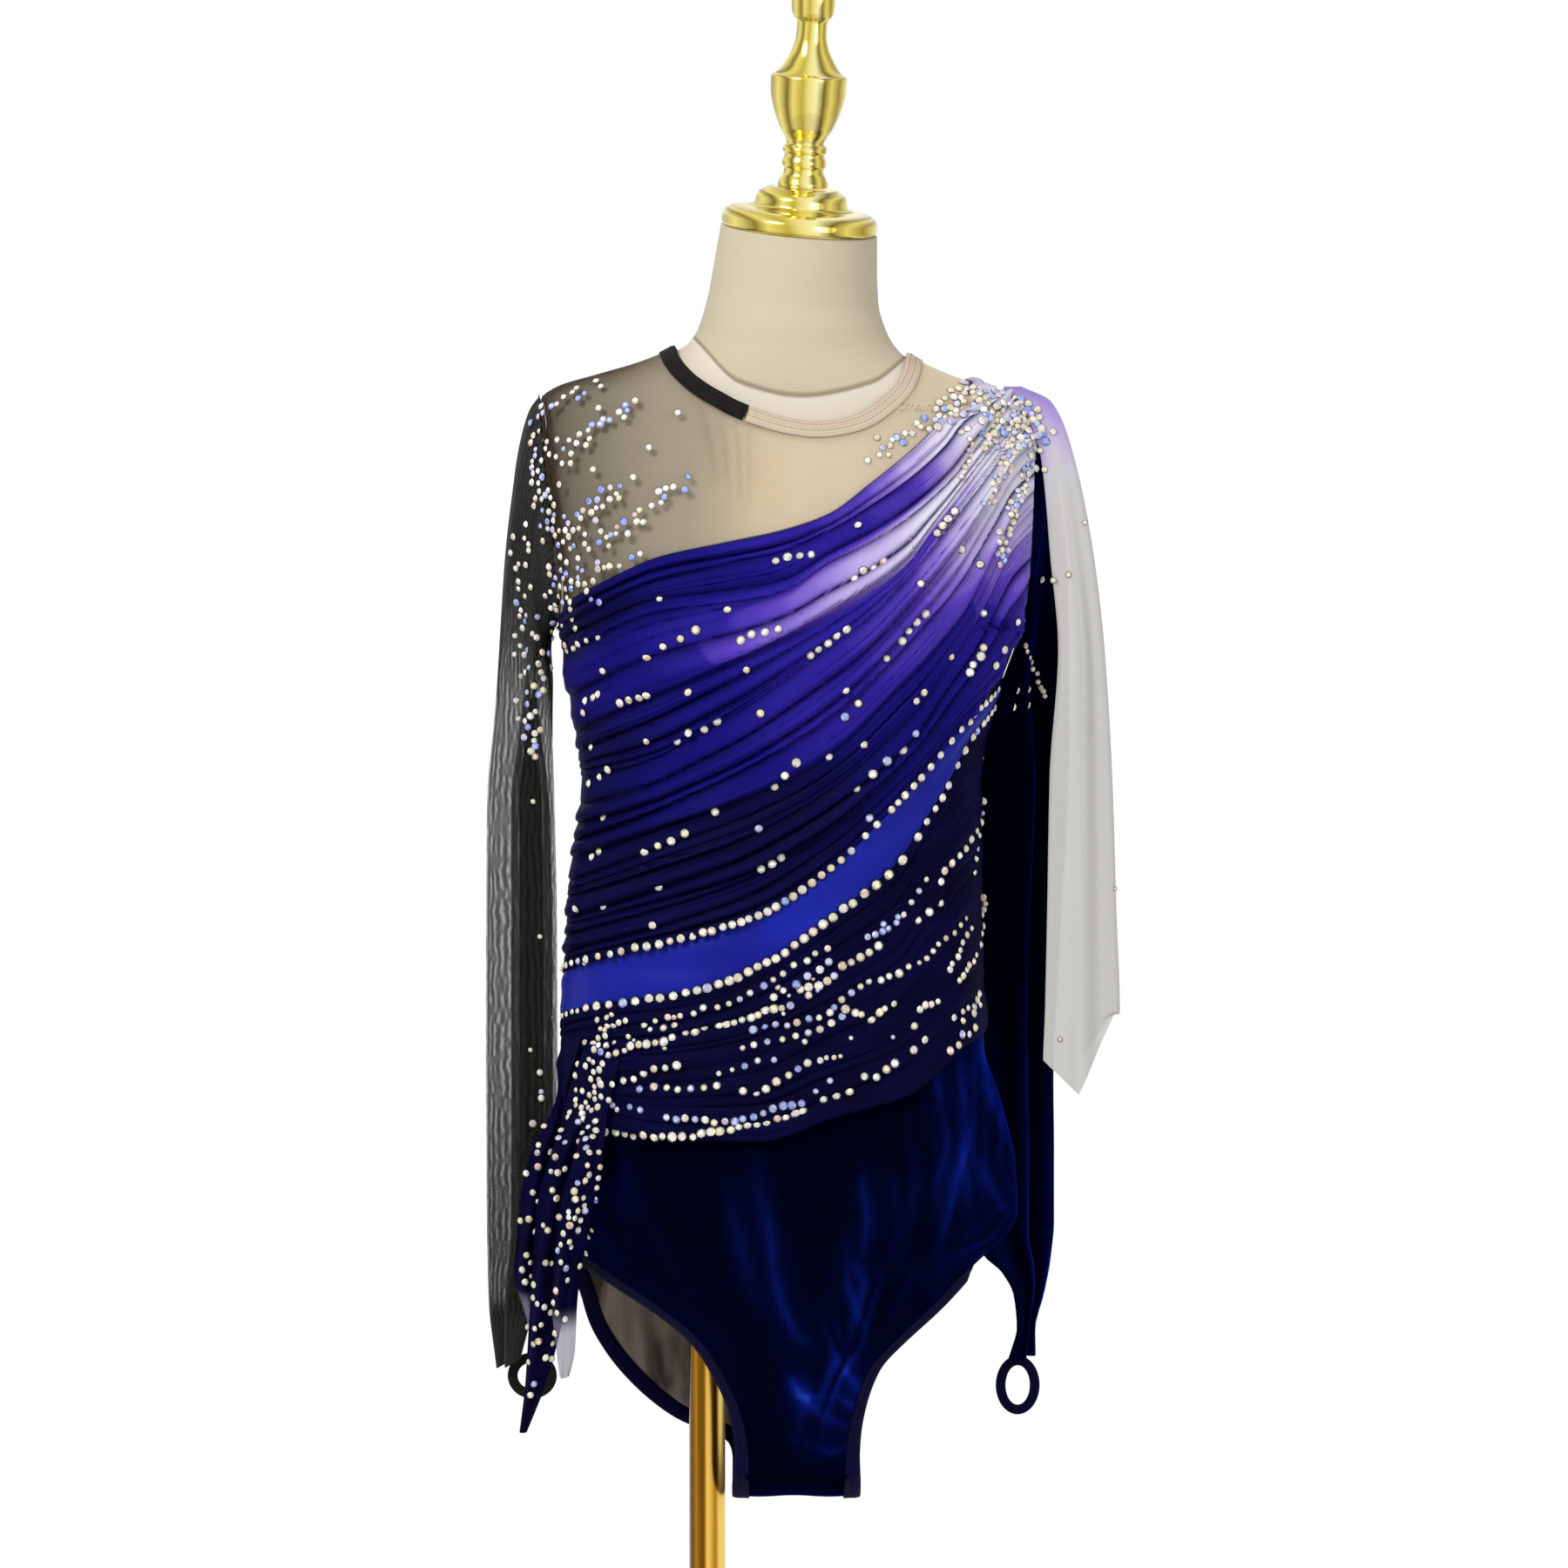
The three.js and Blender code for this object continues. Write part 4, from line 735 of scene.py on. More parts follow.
# Five leading folds, each drawn on the front as (x, z) from the left seam to the shoulder
FOLD_LINES = [curve_through(*np.array(points).T) for points in (
    [
        (-120, 950), (-92, 963), (-34, 985), (24, 1007), (53, 1023), (83, 1042), (112, 1065), (141, 1094),
        (164, 1129), (183, 1158), (206, 1202), (234, 1226),
    ],
    [
        (-120, 985), (-92, 998), (-34, 1025), (24, 1048), (71, 1071), (97, 1091), (120, 1115), (150, 1147),
        (171, 1173), (193, 1214), (208, 1241), (234, 1262),
    ],
    [
        (-120, 1044), (-92, 1056), (-34, 1074), (-5, 1090), (24, 1107), (77, 1146), (112, 1173), (150, 1214),
        (171, 1240), (193, 1269), (210, 1290), (234, 1302),
    ],
    [
        (-120, 1070), (-92, 1084), (-63, 1101), (-5, 1128), (53, 1155), (83, 1170), (112, 1188), (135, 1206),
        (151, 1228), (193, 1283), (211, 1304), (234, 1312),
    ],
    [
        (-120, 1140), (-92, 1148), (-34, 1174), (40, 1186), (57, 1192), (82, 1209), (112, 1224), (141, 1243),
        (164, 1263), (187, 1291), (208, 1315), (234, 1322),
    ],
)]
PLEATS, FINE_PLEATS = 23, 66
DRAPE_LEFT, DRAPE_WIDE = -120, 354  # where the drape begins and how far it reaches, seen from the front
FOLD_SHARES = [0, 0.17, 0.34, 0.53, 0.7, 0.82, 1]
RAW_EDGE = curve_through(
    [60, 170, 182, 190, 199, 208, 218, 226, 236], [860, 1088, 1108, 1119, 1136, 1160, 1182, 1206, 1222],
)


def fold_share(base):
    """How much of the drape lies below each point, by the leading folds: 0 at the band, 1 at the top."""
    low, high, z = base[:1, :, 2], base[-1:, :, 2], base[..., 2]
    heights = [low + 0 * z]
    for k, line in enumerate(FOLD_LINES):
        heights.append(np.clip(line(base[..., 0]), heights[-1] + 2, high - 3 * (5 - k)))
    heights.append(high + 0 * z)
    share = np.zeros_like(z)
    for (s0, s1), (h0, h1) in zip(zip(FOLD_SHARES, FOLD_SHARES[1:]), zip(heights, heights[1:])):
        share += (s1 - s0) * np.clip((z - h0) / np.maximum(h1 - h0, 1), 0, 1)
    return share


def fold_width(phase, base):
    """The distance from one pleat to the next, square to the pleats."""
    c, r = np.gradient(base, axis=1), np.gradient(base, axis=0)
    pc, pr = np.gradient(phase, axis=1), np.gradient(phase, axis=0)
    e, f, g = (c * c).sum(-1), (c * r).sum(-1), (r * r).sum(-1)
    steep = (g * pc ** 2 - 2 * f * pc * pr + e * pr ** 2) / np.maximum(e * g - f * f, 1e-6)
    return 1 / np.sqrt(np.maximum(steep, 1e-4))


def frill(base):
    """Millimetres above the drape's raw right edge."""
    x = base[..., 0]
    return base[..., 2] - RAW_EDGE(x) - 1.2 * np.sin(0.55 * base[..., 2]) - 0.8 * np.sin(1.3 * base[..., 2])


def way_along(base):
    """0 at the left side of the drape and 1 at the shoulder, as seen from the front."""
    return np.clip((base[..., 0] - DRAPE_LEFT) / DRAPE_WIDE, 0, 1)


def upper_folds(base):
    """The pleats' own lift, and how much painted shade darkens each point in the grooves."""
    share, along = fold_share(base), way_along(base)
    phase = pleats(along, share, PLEATS, 11, 0.22)
    fine = pleats(along, share, FINE_PLEATS, 23, 0.3)
    top, fine_top = crest(phase, 0.5, 2.1), crest(fine, 0.6, 2.0)
    fine_size = np.maximum(fold_sizes(fine, along, 9, -0.7), 0)
    high = top * fold_sizes(phase, along, 5, 0.35) * np.clip(0.66 * fold_width(phase, base), 0.5, 7.5)
    small = fine_top * fine_size * np.clip(0.4 * fold_width(fine, base), 0.2, 1.8)
    # Painted shade: darkest in each pleat's groove and in the fine creases
    groove = (1 - top) ** 1.5 * fold_sizes(phase, along, 5, 0.4)
    finer = (1 - fine_top) ** 2 * fine_size * 0.6
    return high + small, np.maximum(groove, finer)


def fan(across, share):
    """Lays the rows of the cloth along the leading folds, roughly."""
    a = across[0]
    low, high = band_top(a), drape_top(a)
    x = worn(a, lerp(low, high, 0.5), True)[:, 0]
    heights = [0 * a]
    for k, line in enumerate(FOLD_LINES):
        heights.append(np.clip((line(x) - low) / (high - low), 0.03 * (k + 1), 1 - 0.03 * (5 - k)))
    heights = np.array([*heights, 0 * a + 1]) + 0.002 * np.arange(7)[:, None]
    heights = np.maximum.accumulate(heights, axis=0)
    heights = heights / heights[-1]
    columns = zip(share.T, heights.T)
    return np.stack([lerp(own, np.interp(own, FOLD_SHARES, drawn), 0.7) for own, drawn in columns], axis=1)


def upper_lift(across, share, base):
    lift, _ = upper_folds(base)
    ends = lerp(0.3, 1, smooth(0, 0.1, across))
    rolled = smooth(0.965, 0.985, share) * (1 - smooth(0.99, 1.0, share))
    edge = frill(base)
    turned = 1.4 * np.exp(-((edge - 1.6) / 1.3) ** 2)
    return np.where(edge > 0, (lift + 1.4 * rolled) * ends * smooth(0, 3, edge) + turned, 0)


def upper_painted_shade(across, share, base):
    return upper_folds(base)[1] * smooth(0, 4, frill(base))


def upper_dye(across, share, base):
    along = fold_share(base)
    far = np.hypot(base[..., 0] - SHOULDER[0], base[..., 2] - SHOULDER[1])
    way = way_along(base)
    phase = pleats(way, along, PLEATS, 11, 0.22)
    own = 0.92 + 0.16 * fold_sizes(phase, way * 0.5, 31, 0.0)
    white, violet = WHITE_REACH(along) * own, VIOLET_REACH(along) * (0.9 + 0.1 * own)
    steps = [0 * far, white * 0.55, white, white * 1.35, white * 1.6 + 8, violet, violet + 80, violet + 180]
    shades = [0.0, 0.05, 0.2, 0.36, 0.5, 0.62, 0.76, 0.93]
    dyed = np.full_like(far, shades[0])
    for (a, b), (low, high) in zip(zip(steps, steps[1:]), zip(shades, shades[1:])):
        dyed += (high - low) * smooth(a, np.maximum(b, a + 1), far)
    edge = frill(base)
    # Towards the left side seam the dye is darkened: painted shade where the drape turns round the side
    dyed = dyed + 0.1 * smooth(0.14, 0.0, across) - 0.2 * np.exp(-((edge - 1.4) / 1.2) ** 2)
    return np.where(edge > 0, np.clip(dyed, 0, 0.95), 1.1)


drape_upper = panel(
    "drape_upper", True, band_top, drape_top, 176, 264, upper_lift, CLOTH, [drape.material],
    {"dye": upper_dye, "groove": upper_painted_shade}, fan, 1.35,
)
dress(drape_upper, "drape_print")

# %% [markdown]
# ## The blue band and the lower drape
# The band is the one smooth strip, a cut edge of satin between two pleated pieces. The lower drape is the
# same chiffon in navy, with fewer and softer pleats, because a row of stones holds it flat along every fold.

# %% Waist band


def band_lift(across, share, base):
    return (
        0.5 * np.sin(7 * across + 2 * share) + 0.4 * np.sin(23 * across + 9 * share)
        + 1.1 * crest(share, 1, 6)
    )


waist_band = panel("waist_band", True, band_low, band_top, 120, 14, band_lift, CLOTH, [band_blue.material])
dress(waist_band, "band_blue")

# %% Lower drape
HEM_LAP = 3  # the hem lies over the velvet by this much


def lower_lift(across, share, base):
    phase, fine = pleats(across, share, 11, 41, 0.25), pleats(across, share, 25, 43, 0.35)
    lap = 2.6 * (1 - smooth(0.04, 0.12, share))
    ends = lerp(0.4, 1, smooth(0, 0.1, across)) * lerp(0.5, 1, smooth(0, 0.12, 1 - across))
    wide = 3.0 * crest(phase, 0.5) * fold_sizes(phase, across, 7, 0.3)
    return (wide + 0.9 * crest(fine, 0.6) * fold_sizes(fine, across, 8, 0.0)) * ends + lap


drape_lower = panel(
    "drape_lower", True, lambda a: drape_hem(a) - HEM_LAP, band_low, 140, 130, lower_lift, CLOTH,
    [navy.material],
)
dress(drape_lower, "drape_navy")

# %% [markdown]
# ## Velvet brief, back and gusset
# Velvet is cut with its nap running down. On an empty brief it drags from the right side seam and bunches
# above the right leg, so those folds are laid one by one, each with its own width.

# %% Brief front
BRIEF_FOLDS = [
    ([(196, 868), (192, 800), (206, 756)], 7, 4.0),
    ([(178, 872), (176, 800), (190, 742)], 6, 3.4),
    ([(160, 850), (158, 790), (150, 735), (160, 700)], 8, 3.0),
    ([(140, 845), (146, 790), (136, 730), (118, 690)], 7, 2.4),
    ([(112, 815), (122, 760), (108, 700)], 9, 2.0),
    ([(96, 760), (112, 722), (100, 676), (84, 650)], 6, 2.6),
    ([(80, 706), (92, 668), (78, 628), (74, 600)], 5, 2.2),
    ([(60, 660), (70, 630), (62, 590)], 6, 1.5),
    ([(205, 770), (188, 752), (168, 742)], 6, 3.2),
    ([(212, 758), (196, 742), (180, 728)], 4, 2.4),
    ([(20, 800), (40, 740), (46, 690)], 14, 1.6),
    ([(-40, 800), (-20, 750), (0, 710)], 13, 1.4),
    ([(-70, 790), (-64, 760), (-48, 726)], 8, 1.4),
]


def brief_lift(across, share, base):
    near_edge = smooth(0, 0.05, across) * smooth(0, 0.05, 1 - across) * smooth(0, 0.05, share)
    return laid_folds(base[..., 0], base[..., 2], BRIEF_FOLDS) * near_edge


# Painted sheen where the nap catches the light: the path, half width and strength of each soft streak
PAINTED_NAP_SHEEN = [
    ([(157, 876), (160, 815), (154, 768)], 3.5, 1.0),
    ([(170, 880), (176, 826), (169, 780), (155, 745)], 3.0, 0.8),
    ([(187, 890), (193, 832), (205, 797), (210, 768)], 3.5, 0.9),
    ([(182, 808), (199, 768), (209, 761)], 4.0, 0.8), ([(106, 802), (109, 768), (103, 738)], 3.5, 0.6),
    ([(91, 753), (97, 721), (107, 683)], 3.5, 0.7), ([(36, 808), (45, 739), (59, 686), (80, 668)], 6.0, 0.6),
    ([(56, 657), (77, 628), (97, 613)], 5.5, 0.9), ([(83, 669), (97, 655), (112, 634)], 4.0, 0.9),
    ([(-52, 802), (-60, 756)], 5.0, 0.4), ([(128, 800), (132, 770), (124, 735)], 3.5, 0.5),
    ([(64, 640), (90, 640), (108, 622)], 3.0, 0.7), ([(60, 610), (84, 598), (100, 602)], 4.5, 0.6),
    ([(10, 800), (24, 742), (44, 700)], 7.0, 0.35),
]


def brief_painted_sheen(across, share, base):
    drawn = [(p, wide * w, high * h) for wide, high in ((0.75, 0.85), (3.4, 0.42)) for p, w, h in PAINTED_NAP_SHEEN]
    return laid_folds(base[..., 0] + 1.5 * np.sin(0.09 * base[..., 2]), base[..., 2], drawn)


brief_front = panel(
    "brief_front", True, level(CROTCH_FRONT - GAP), drape_hem, 120, 130, brief_lift, CLOTH,
    VELVET, {"streak": brief_painted_sheen},
)
dress(brief_front, "velvet_navy")

# %% Back
BACK_FOLDS = [
    ([(40, 1190), (30, 1090), (44, 980), (36, 880)], 12, 2.0),
    ([(96, 1180), (88, 1080), (100, 960)], 11, 1.6),
    ([(-20, 1160), (-30, 1060), (-10, 960), (-24, 860)], 10, 1.8),
    ([(140, 1150), (128, 1040), (150, 930)], 10, 1.5),
    ([(-70, 1000), (-20, 985), (40, 990)], 8, 1.8),
    ([(170, 1010), (120, 992), (70, 1000)], 8, 1.7),
    ([(-66, 960), (-10, 950), (50, 958)], 7, 1.4),
    ([(160, 700), (130, 660), (104, 620)], 9, 1.6),
    ([(-50, 720), (-20, 670), (10, 630)], 9, 1.8),
    ([(52, 760), (56, 690), (60, 620)], 9, 1.8),
]


def back_lift(across, share, base):
    near_edge = smooth(0, 0.06, across) * smooth(0, 0.06, 1 - across)
    near_edge = near_edge * smooth(0, 0.03, share) * smooth(0, 0.03, 1 - share)
    return laid_folds(base[..., 0], base[..., 2], BACK_FOLDS) * near_edge


body_back = panel(
    "body_back", False, level(CROTCH_BACK - GAP), level(BACK_YOKE_SEAM), 120, 200, back_lift, CLOTH,
    VELVET,
)
dress(body_back, "velvet_navy")

# %% Gusset
GUSSET_LAP = 4  # its two ends lie this far up the inside of the front and the back


def gusset_point(across, t):
    """A point of the gusset. across is 0 at its left side, and t is 0 at the front and 1 at the back."""
    left, bulge = lerp(27, 26.5, t), 1 - np.abs(2 * across - 1) ** FLATTENED
    end = np.where(t < 0.5, CROTCH_FRONT, CROTCH_BACK) + GUSSET_LAP
    return np.stack([
        lerp(left, 97, across), lerp(-42.5 - 4.8 * bulge, 41.7 + 7 * bulge, t),
        lerp(CROTCH_LOW, end, np.abs(2 * t - 1) ** 2),
    ], -1)


def sheet_out(point, u, v, step=0.002):
    u0, u1, v0, v1 = (np.clip(w, 0, 1) for w in (u - step, u + step, v - step, v + step))
    return unit(np.cross(point(u1, v) - point(u0, v), point(u, v1) - point(u, v0)))


def free_sheet(name, point, columns, rows, thickness, finishes, lift=None, tints=None):
    u, v = np.meshgrid(np.linspace(0, 1, columns + 1), np.linspace(0, 1, rows + 1))
    base, out = point(u, v), sheet_out(point, u, v)
    if lift:
        base = base + out * lift(u, v)[..., None]
    marks = {key: tint(u, v) for key, tint in (tints or {}).items()}
    return closed_wall(name, base - out * thickness / 2, base + out * thickness / 2, False, finishes, marks)


# A negative painted sheen keeps the gusset's downturned velvet from being painted blue
crotch_gusset = free_sheet(
    "crotch_gusset", lambda u, v: gusset_point(1 - u, v), 40, 48, CLOTH, VELVET,
    lambda u, v: 0.5 * np.sin(9 * u) * smooth(0, 0.1, v) * smooth(0, 0.1, 1 - v),
    {"streak": lambda u, v: -1.6 + 0 * u},
)
dress(crotch_gusset, "velvet_navy")

# %% [markdown]
# ## Net yokes
# The net is stretched over the form, black at the left armhole and skin-coloured from the middle on. It is
# nearly flat, with a few soft gathers where it is eased into the neck binding on the left.

# %% Yokes
YOKE_GATHERS = [
    ([(-8, 1318), (-2, 1290), (2, 1262)], 4, 1.3),
    ([(4, 1312), (8, 1284), (10, 1256)], 3, 1.1),
    ([(14, 1306), (17, 1276), (18, 1250)], 3.5, 1.2),
    ([(23, 1300), (24, 1276), (24, 1248)], 3, 0.8),
    ([(-30, 1330), (-50, 1290), (-60, 1250)], 6, 0.9),
]


def yoke_lift(across, share, base):
    return laid_folds(base[..., 0], base[..., 2], YOKE_GATHERS) * smooth(0, 0.06, across)


def skin(across, share, base):
    return np.clip((base[..., 0] + 0.05 * (1260 - base[..., 2]) + 118) / 180, 0, 1)


def seam_density(across, share, base):
    """Where the net lies double and looks denser: along the armhole seams and in its gathers."""
    narrow = [(path, 1.6, 0.45 * high) for path, _, high in YOKE_GATHERS[:4]]
    gathered = laid_folds(base[..., 0] - 3, base[..., 2], narrow) * smooth(-1, 0, -base[..., 1])
    return (1 - smooth(0, 0.012, across)) + (1 - smooth(0, 0.012, 1 - across)) * 0.5 + gathered


yoke_cloth, yoke_marks = (SHEER, [net_yoke.material]), {"skin": skin, "seam": seam_density}
yoke_front = panel("yoke_front", True, drape_top, neck_front, 130, 70, yoke_lift, *yoke_cloth, yoke_marks)
dress(yoke_front, "net_yoke")
yoke_back = panel(
    "yoke_back", False, level(BACK_YOKE_SEAM), neck_back, 120, 60, None, *yoke_cloth, yoke_marks,
)
dress(yoke_back, "net_yoke")

# %% [markdown]
# ## Bindings
# A binding is a narrow elastic folded over the raw edge, so its section has a lip on each side of the cloth.
# The path's own points come from the panels' edges, so that binding and cloth always meet.

# %% The binding builder
SECTION_STEP = 0.0018  # from one point of the section to the next, in metres
SECTION = [
    (-0.5, -0.25), (-2.8, -0.25), (-3.0, -0.7), (-2.6, -1.1), (2.4, -1.1), (5.6, -0.9), (8.2, -0.5),
    (8.8, 0.5), (8.2, 1.6), (5.6, 2.2), (2.4, 2.2), (-0.5, 2.35), (-2.6, 2.45), (-3.1, 2.0), (-2.8, 1.6),
    (-0.5, 1.6), (-0.35, 0.6),
]


def binding(name, edge, out, off, closed, finish):
    """edge is the cloth's inner edge, out its outward way, off the way into the opening."""
    rings = np.stack([edge + off * (2 * GAP + o) + out * w for o, w in SECTION], axis=1)
    if closed:
        rings = np.concatenate([rings, rings[:1]])
    rows, around = rings.shape[:2]
    last = rows - 1 if closed else rows
    points = rings[:last].reshape(-1, 3)
    faces = []
    for r in range(rows - 1):
        for c in range(around):
            d, n = (c + 1) % around, (r + 1) % last
            faces.append((r * around + c, r * around + d, n * around + d, n * around + c))
    if not closed:
        faces += [tuple(range(around))[::-1], tuple((last - 1) * around + c for c in range(around))]
    thirds = [(points[f[0]], points[f[i]], points[f[i + 1]]) for f in faces for i in range(1, len(f) - 1)]
    faces = faces if sum(np.dot(a, np.cross(b, c)) for a, b, c in thirds) > 0 else [f[::-1] for f in faces]
    piece = mesh_object(name, points, faces, [finish])
    steps = run_along(rings[:, 0]) * MM
    layer = piece.data.uv_layers.new(name="cloth")
    for p in piece.data.polygons:
        closing = closed and any(v // around == last - 1 for v in p.vertices)
        for loop, v in zip(p.loop_indices, p.vertices):
            r = last if closing and v < around else v // around
            layer.data[loop].uv = (steps[r], (v % around) * SECTION_STEP)
    print(f"{name}: {steps[-1] * 1000:.0f} mm long")
    return piece


def tidy_off(edge, out, off_hint, closed):
    """The way into the opening, square to the edge and to out."""
    ring = np.roll(edge, -1, axis=0) - np.roll(edge, 1, axis=0)
    along = ring if closed else np.gradient(edge, axis=0)
    off = unit(np.cross(unit(along), out))
    return off * np.sign((off * off_hint).sum(-1, keepdims=True))


# %% Neck binding, black round the left shoulder and skin-coloured round the right one
NECK_JOIN_FRONT, NECK_JOIN_BACK, JOIN_GAP = 5 / 14, 7 / 14, 0.004


def neck_part(name, end, finish):
    apart = JOIN_GAP if end else -JOIN_GAP
    front = np.linspace(NECK_JOIN_FRONT + apart, end, 70)
    back = np.linspace(end, NECK_JOIN_BACK + apart, 50)[1:]
    halves = (front, neck_front(front) - GAP, True), (back, neck_back(back) - GAP, False)
    edge, out = (np.concatenate([place(*half) for half in halves]) for place in (worn, worn_out))
    for _ in range(12):
        out[1:-1] = unit(out[1:-1] * 2 + out[:-2] + out[2:])
        edge[1:-1] = (edge[1:-1] * 6 + edge[:-2] + edge[2:]) / 8
    off = tidy_off(edge, out, np.array([0, 0, 1.0]), False)
    return binding(name, edge, out, off, False, finish), edge, out, off


neck_black, *neck_black_path = neck_part("neck_binding_black", 0, elastics["elastic_black"])
neck_skin, *neck_skin_path = neck_part("neck_binding_skin", 1, elastics["elastic_skin"])
dress(neck_black, "elastic_black")
dress(neck_skin, "elastic_skin")

# %% Leg bindings
LEG_TOP = 728


def leg_path(end):
    """Down the front's edge, along the gusset, and up the back's edge."""
    z_front, z_back = np.linspace(LEG_TOP, CROTCH_FRONT, 60), np.linspace(CROTCH_BACK, LEG_TOP, 56)
    t = np.linspace(0.1, 0.9, 34)
    a = np.full(60, float(end)), np.full(34, float(end)), np.full(56, float(end))
    edge = np.concatenate([worn(a[0], z_front, True), gusset_point(a[1], t), worn(a[2], z_back, False)])
    gusset_out = sheet_out(gusset_point, a[1], t)
    gusset_out *= -np.sign(gusset_out[:, 2:])
    out = np.concatenate([worn_out(a[0], z_front, True), gusset_out, worn_out(a[2], z_back, False)])
    for _ in range(8):
        out = unit(out * 2 + np.roll(out, 1, axis=0) + np.roll(out, -1, axis=0))
        edge = (edge * 6 + np.roll(edge, 1, axis=0) + np.roll(edge, -1, axis=0)) / 8
    hint = np.array([-45.0 if end == 0 else 165.0, 0, 640]) - edge
    off = tidy_off(edge, out, hint, True)
    return edge, out, off


LEG_PATHS = {}
for name, end in (("leg_binding_left", 0), ("leg_binding_right", 1)):
    LEG_PATHS[name] = leg_path(end)
    leg = binding(name, *LEG_PATHS[name], True, elastics["elastic_navy"])
    dress(
        leg, "elastic_navy",
    )

# %% [markdown]
# ## Sleeves
# An empty sleeve hangs flat and folds over itself lengthwise, like a letter: where three layers of net lie on
# each other it looks nearly black, and where there is one tube it lets the light through. The section at each
# height is that folded loop, and it opens to the armhole's own oval at the top.

# %% The folded tube
SLEEVE_RUNS, RUN_STEPS, TURN_LENGTH, TURN_STEPS = (38, 13, 23), (9, 4, 6), 14.5, 6


def folded_loop(fold, half_gap, reach):
    """A flat tube folded in three: each point's place, how deep it lies, and 1, 0 or -1 for its side."""
    line, x, y, heading, turn = [(0.0, 0.0, 0.0)], 0.0, 0.0, 0.0, math.radians(fold)
    first, second, third = ((*run, 0) for run in zip(SLEEVE_RUNS, RUN_STEPS))
    walks = first, (TURN_LENGTH, TURN_STEPS, turn), second, (TURN_LENGTH, TURN_STEPS, -turn), third
    for length, steps, bend in walks:
        for _ in range(steps):
            heading += bend / steps / 2
            x, y = x + math.cos(heading) * length / steps, y + math.sin(heading) * length / steps
            heading += bend / steps / 2
            line.append((x, y, heading))
    line = np.array(line)
    right, middle = line[:, 0].max(), (line[:, 1].min() + line[:, 1].max()) / 2

    def side(sign):
        off = np.full(len(line), sign * reach)
        off[0] = off[-1] = sign * (reach - 0.4 * half_gap)
        x, y, heading = line.T
        return np.stack([x - np.sin(heading) * off, y + np.cos(heading) * off, np.full(len(line), sign)], -1)

    end, tip = line[-1], reach - 0.3 * half_gap
    loop = np.concatenate([
        side(1.0), [[end[0] + math.cos(end[2]) * tip, end[1] + math.sin(end[2]) * tip, 0]],
        side(-1.0)[::-1], [[-tip, 0, 0]],
    ])
    return loop[:, 0] / right, loop[:, 1] - middle, loop[:, 2]


def armhole_point(high, is_left, sign, offset):
    """The tube's first ring, which lies just outside the armhole."""
    z = lerp(UNDERARM + 4, SHOULDER_TIP, high)
    points = []
    for zi, s in zip(z, sign):
        half, middle, depth, _, square = (float(w) for w in half_section(np.float64(zi), s > 0)[:5])
        reach = armhole_at(zi)
        lip = lip_at(min(1, reach / half), depth, square)
        room = 3 * GAP + 2.2 * (1 - min(1, max(0, (half - reach) / 3)))
        side = (-1 if is_left else 1) * (reach + room)
        past = offset if s == 0 else 0
        high_end = 1 if zi > (UNDERARM + SHOULDER_TIP) / 2 else -1
        points.append(
            (middle + side, 0 if s == 0 else -s * (lip + offset), zi + past * high_end - tilt_at(zi) * side)
        )
    return np.array(points)


# share down, inner edge, outer edge, half the opening, how far back, how far folded
LEFT_SLEEVE = columns_of([
    [0.0, -103, 1163, -114, 1318, 40, 0, 0], [0.05, -105.5, 1158, -121, 1308, 32, 0, 0],
    [0.12, -106.5, 1150, -130, 1272, 22, 0, 0], [0.19, -107, 1136, -135, 1222, 13, 0, 30],
    [0.26, -107, 1112, -140, 1160, 6, 0, 85], [0.33, -107, 1080, -144, 1104, 3, 0, 140],
    [0.42, -106.5, 1030, -149, 1040, 2.6, 0, 178], [0.55, -105.5, 950, -150, 950, 2.6, 0, 180],
    [0.7, -105.5, 850, -150.5, 850, 2.6, 1, 180], [0.84, -107, 752, -150.5, 752, 2.6, 1, 180],
    [0.93, -119, 700, -150.5, 697, 2.6, 1, 180], [1.0, -130, 654.3, -146, 645, 2.6, 0, 180],
])
RIGHT_SLEEVE = columns_of([
    [0.0, 217, 1161, 229, 1307, 40, 0, 0], [0.05, 220, 1156, 235, 1297, 32, 0, 0],
    [0.12, 214, 1146, 241, 1262, 22, 3, 0], [0.19, 206, 1130, 245, 1214, 13, 6, 30],
    [0.26, 199, 1106, 247, 1155, 6, 7, 85], [0.33, 194.5, 1076, 248, 1100, 3, 12, 140],
    [0.42, 189.5, 1030, 247, 1038, 2.6, 20, 178], [0.55, 187.5, 950, 243, 950, 2.6, 33, 180],
    [0.7, 193, 850, 240, 850, 2.6, 48, 180], [0.8, 196, 786, 241, 786, 2.6, 52, 180],
    [0.88, 195, 724, 241, 738, 2.6, 50, 180], [0.92, 209, 706, 239.5, 712, 2.6, 48, 180],
    [0.95, 216, 690, 236, 690, 2.6, 46, 180], [0.975, 217.5, 668, 230, 664, 2.2, 44, 180],
    [1.0, 212, 646, 230, 645, 2.6, 44, 180],
])


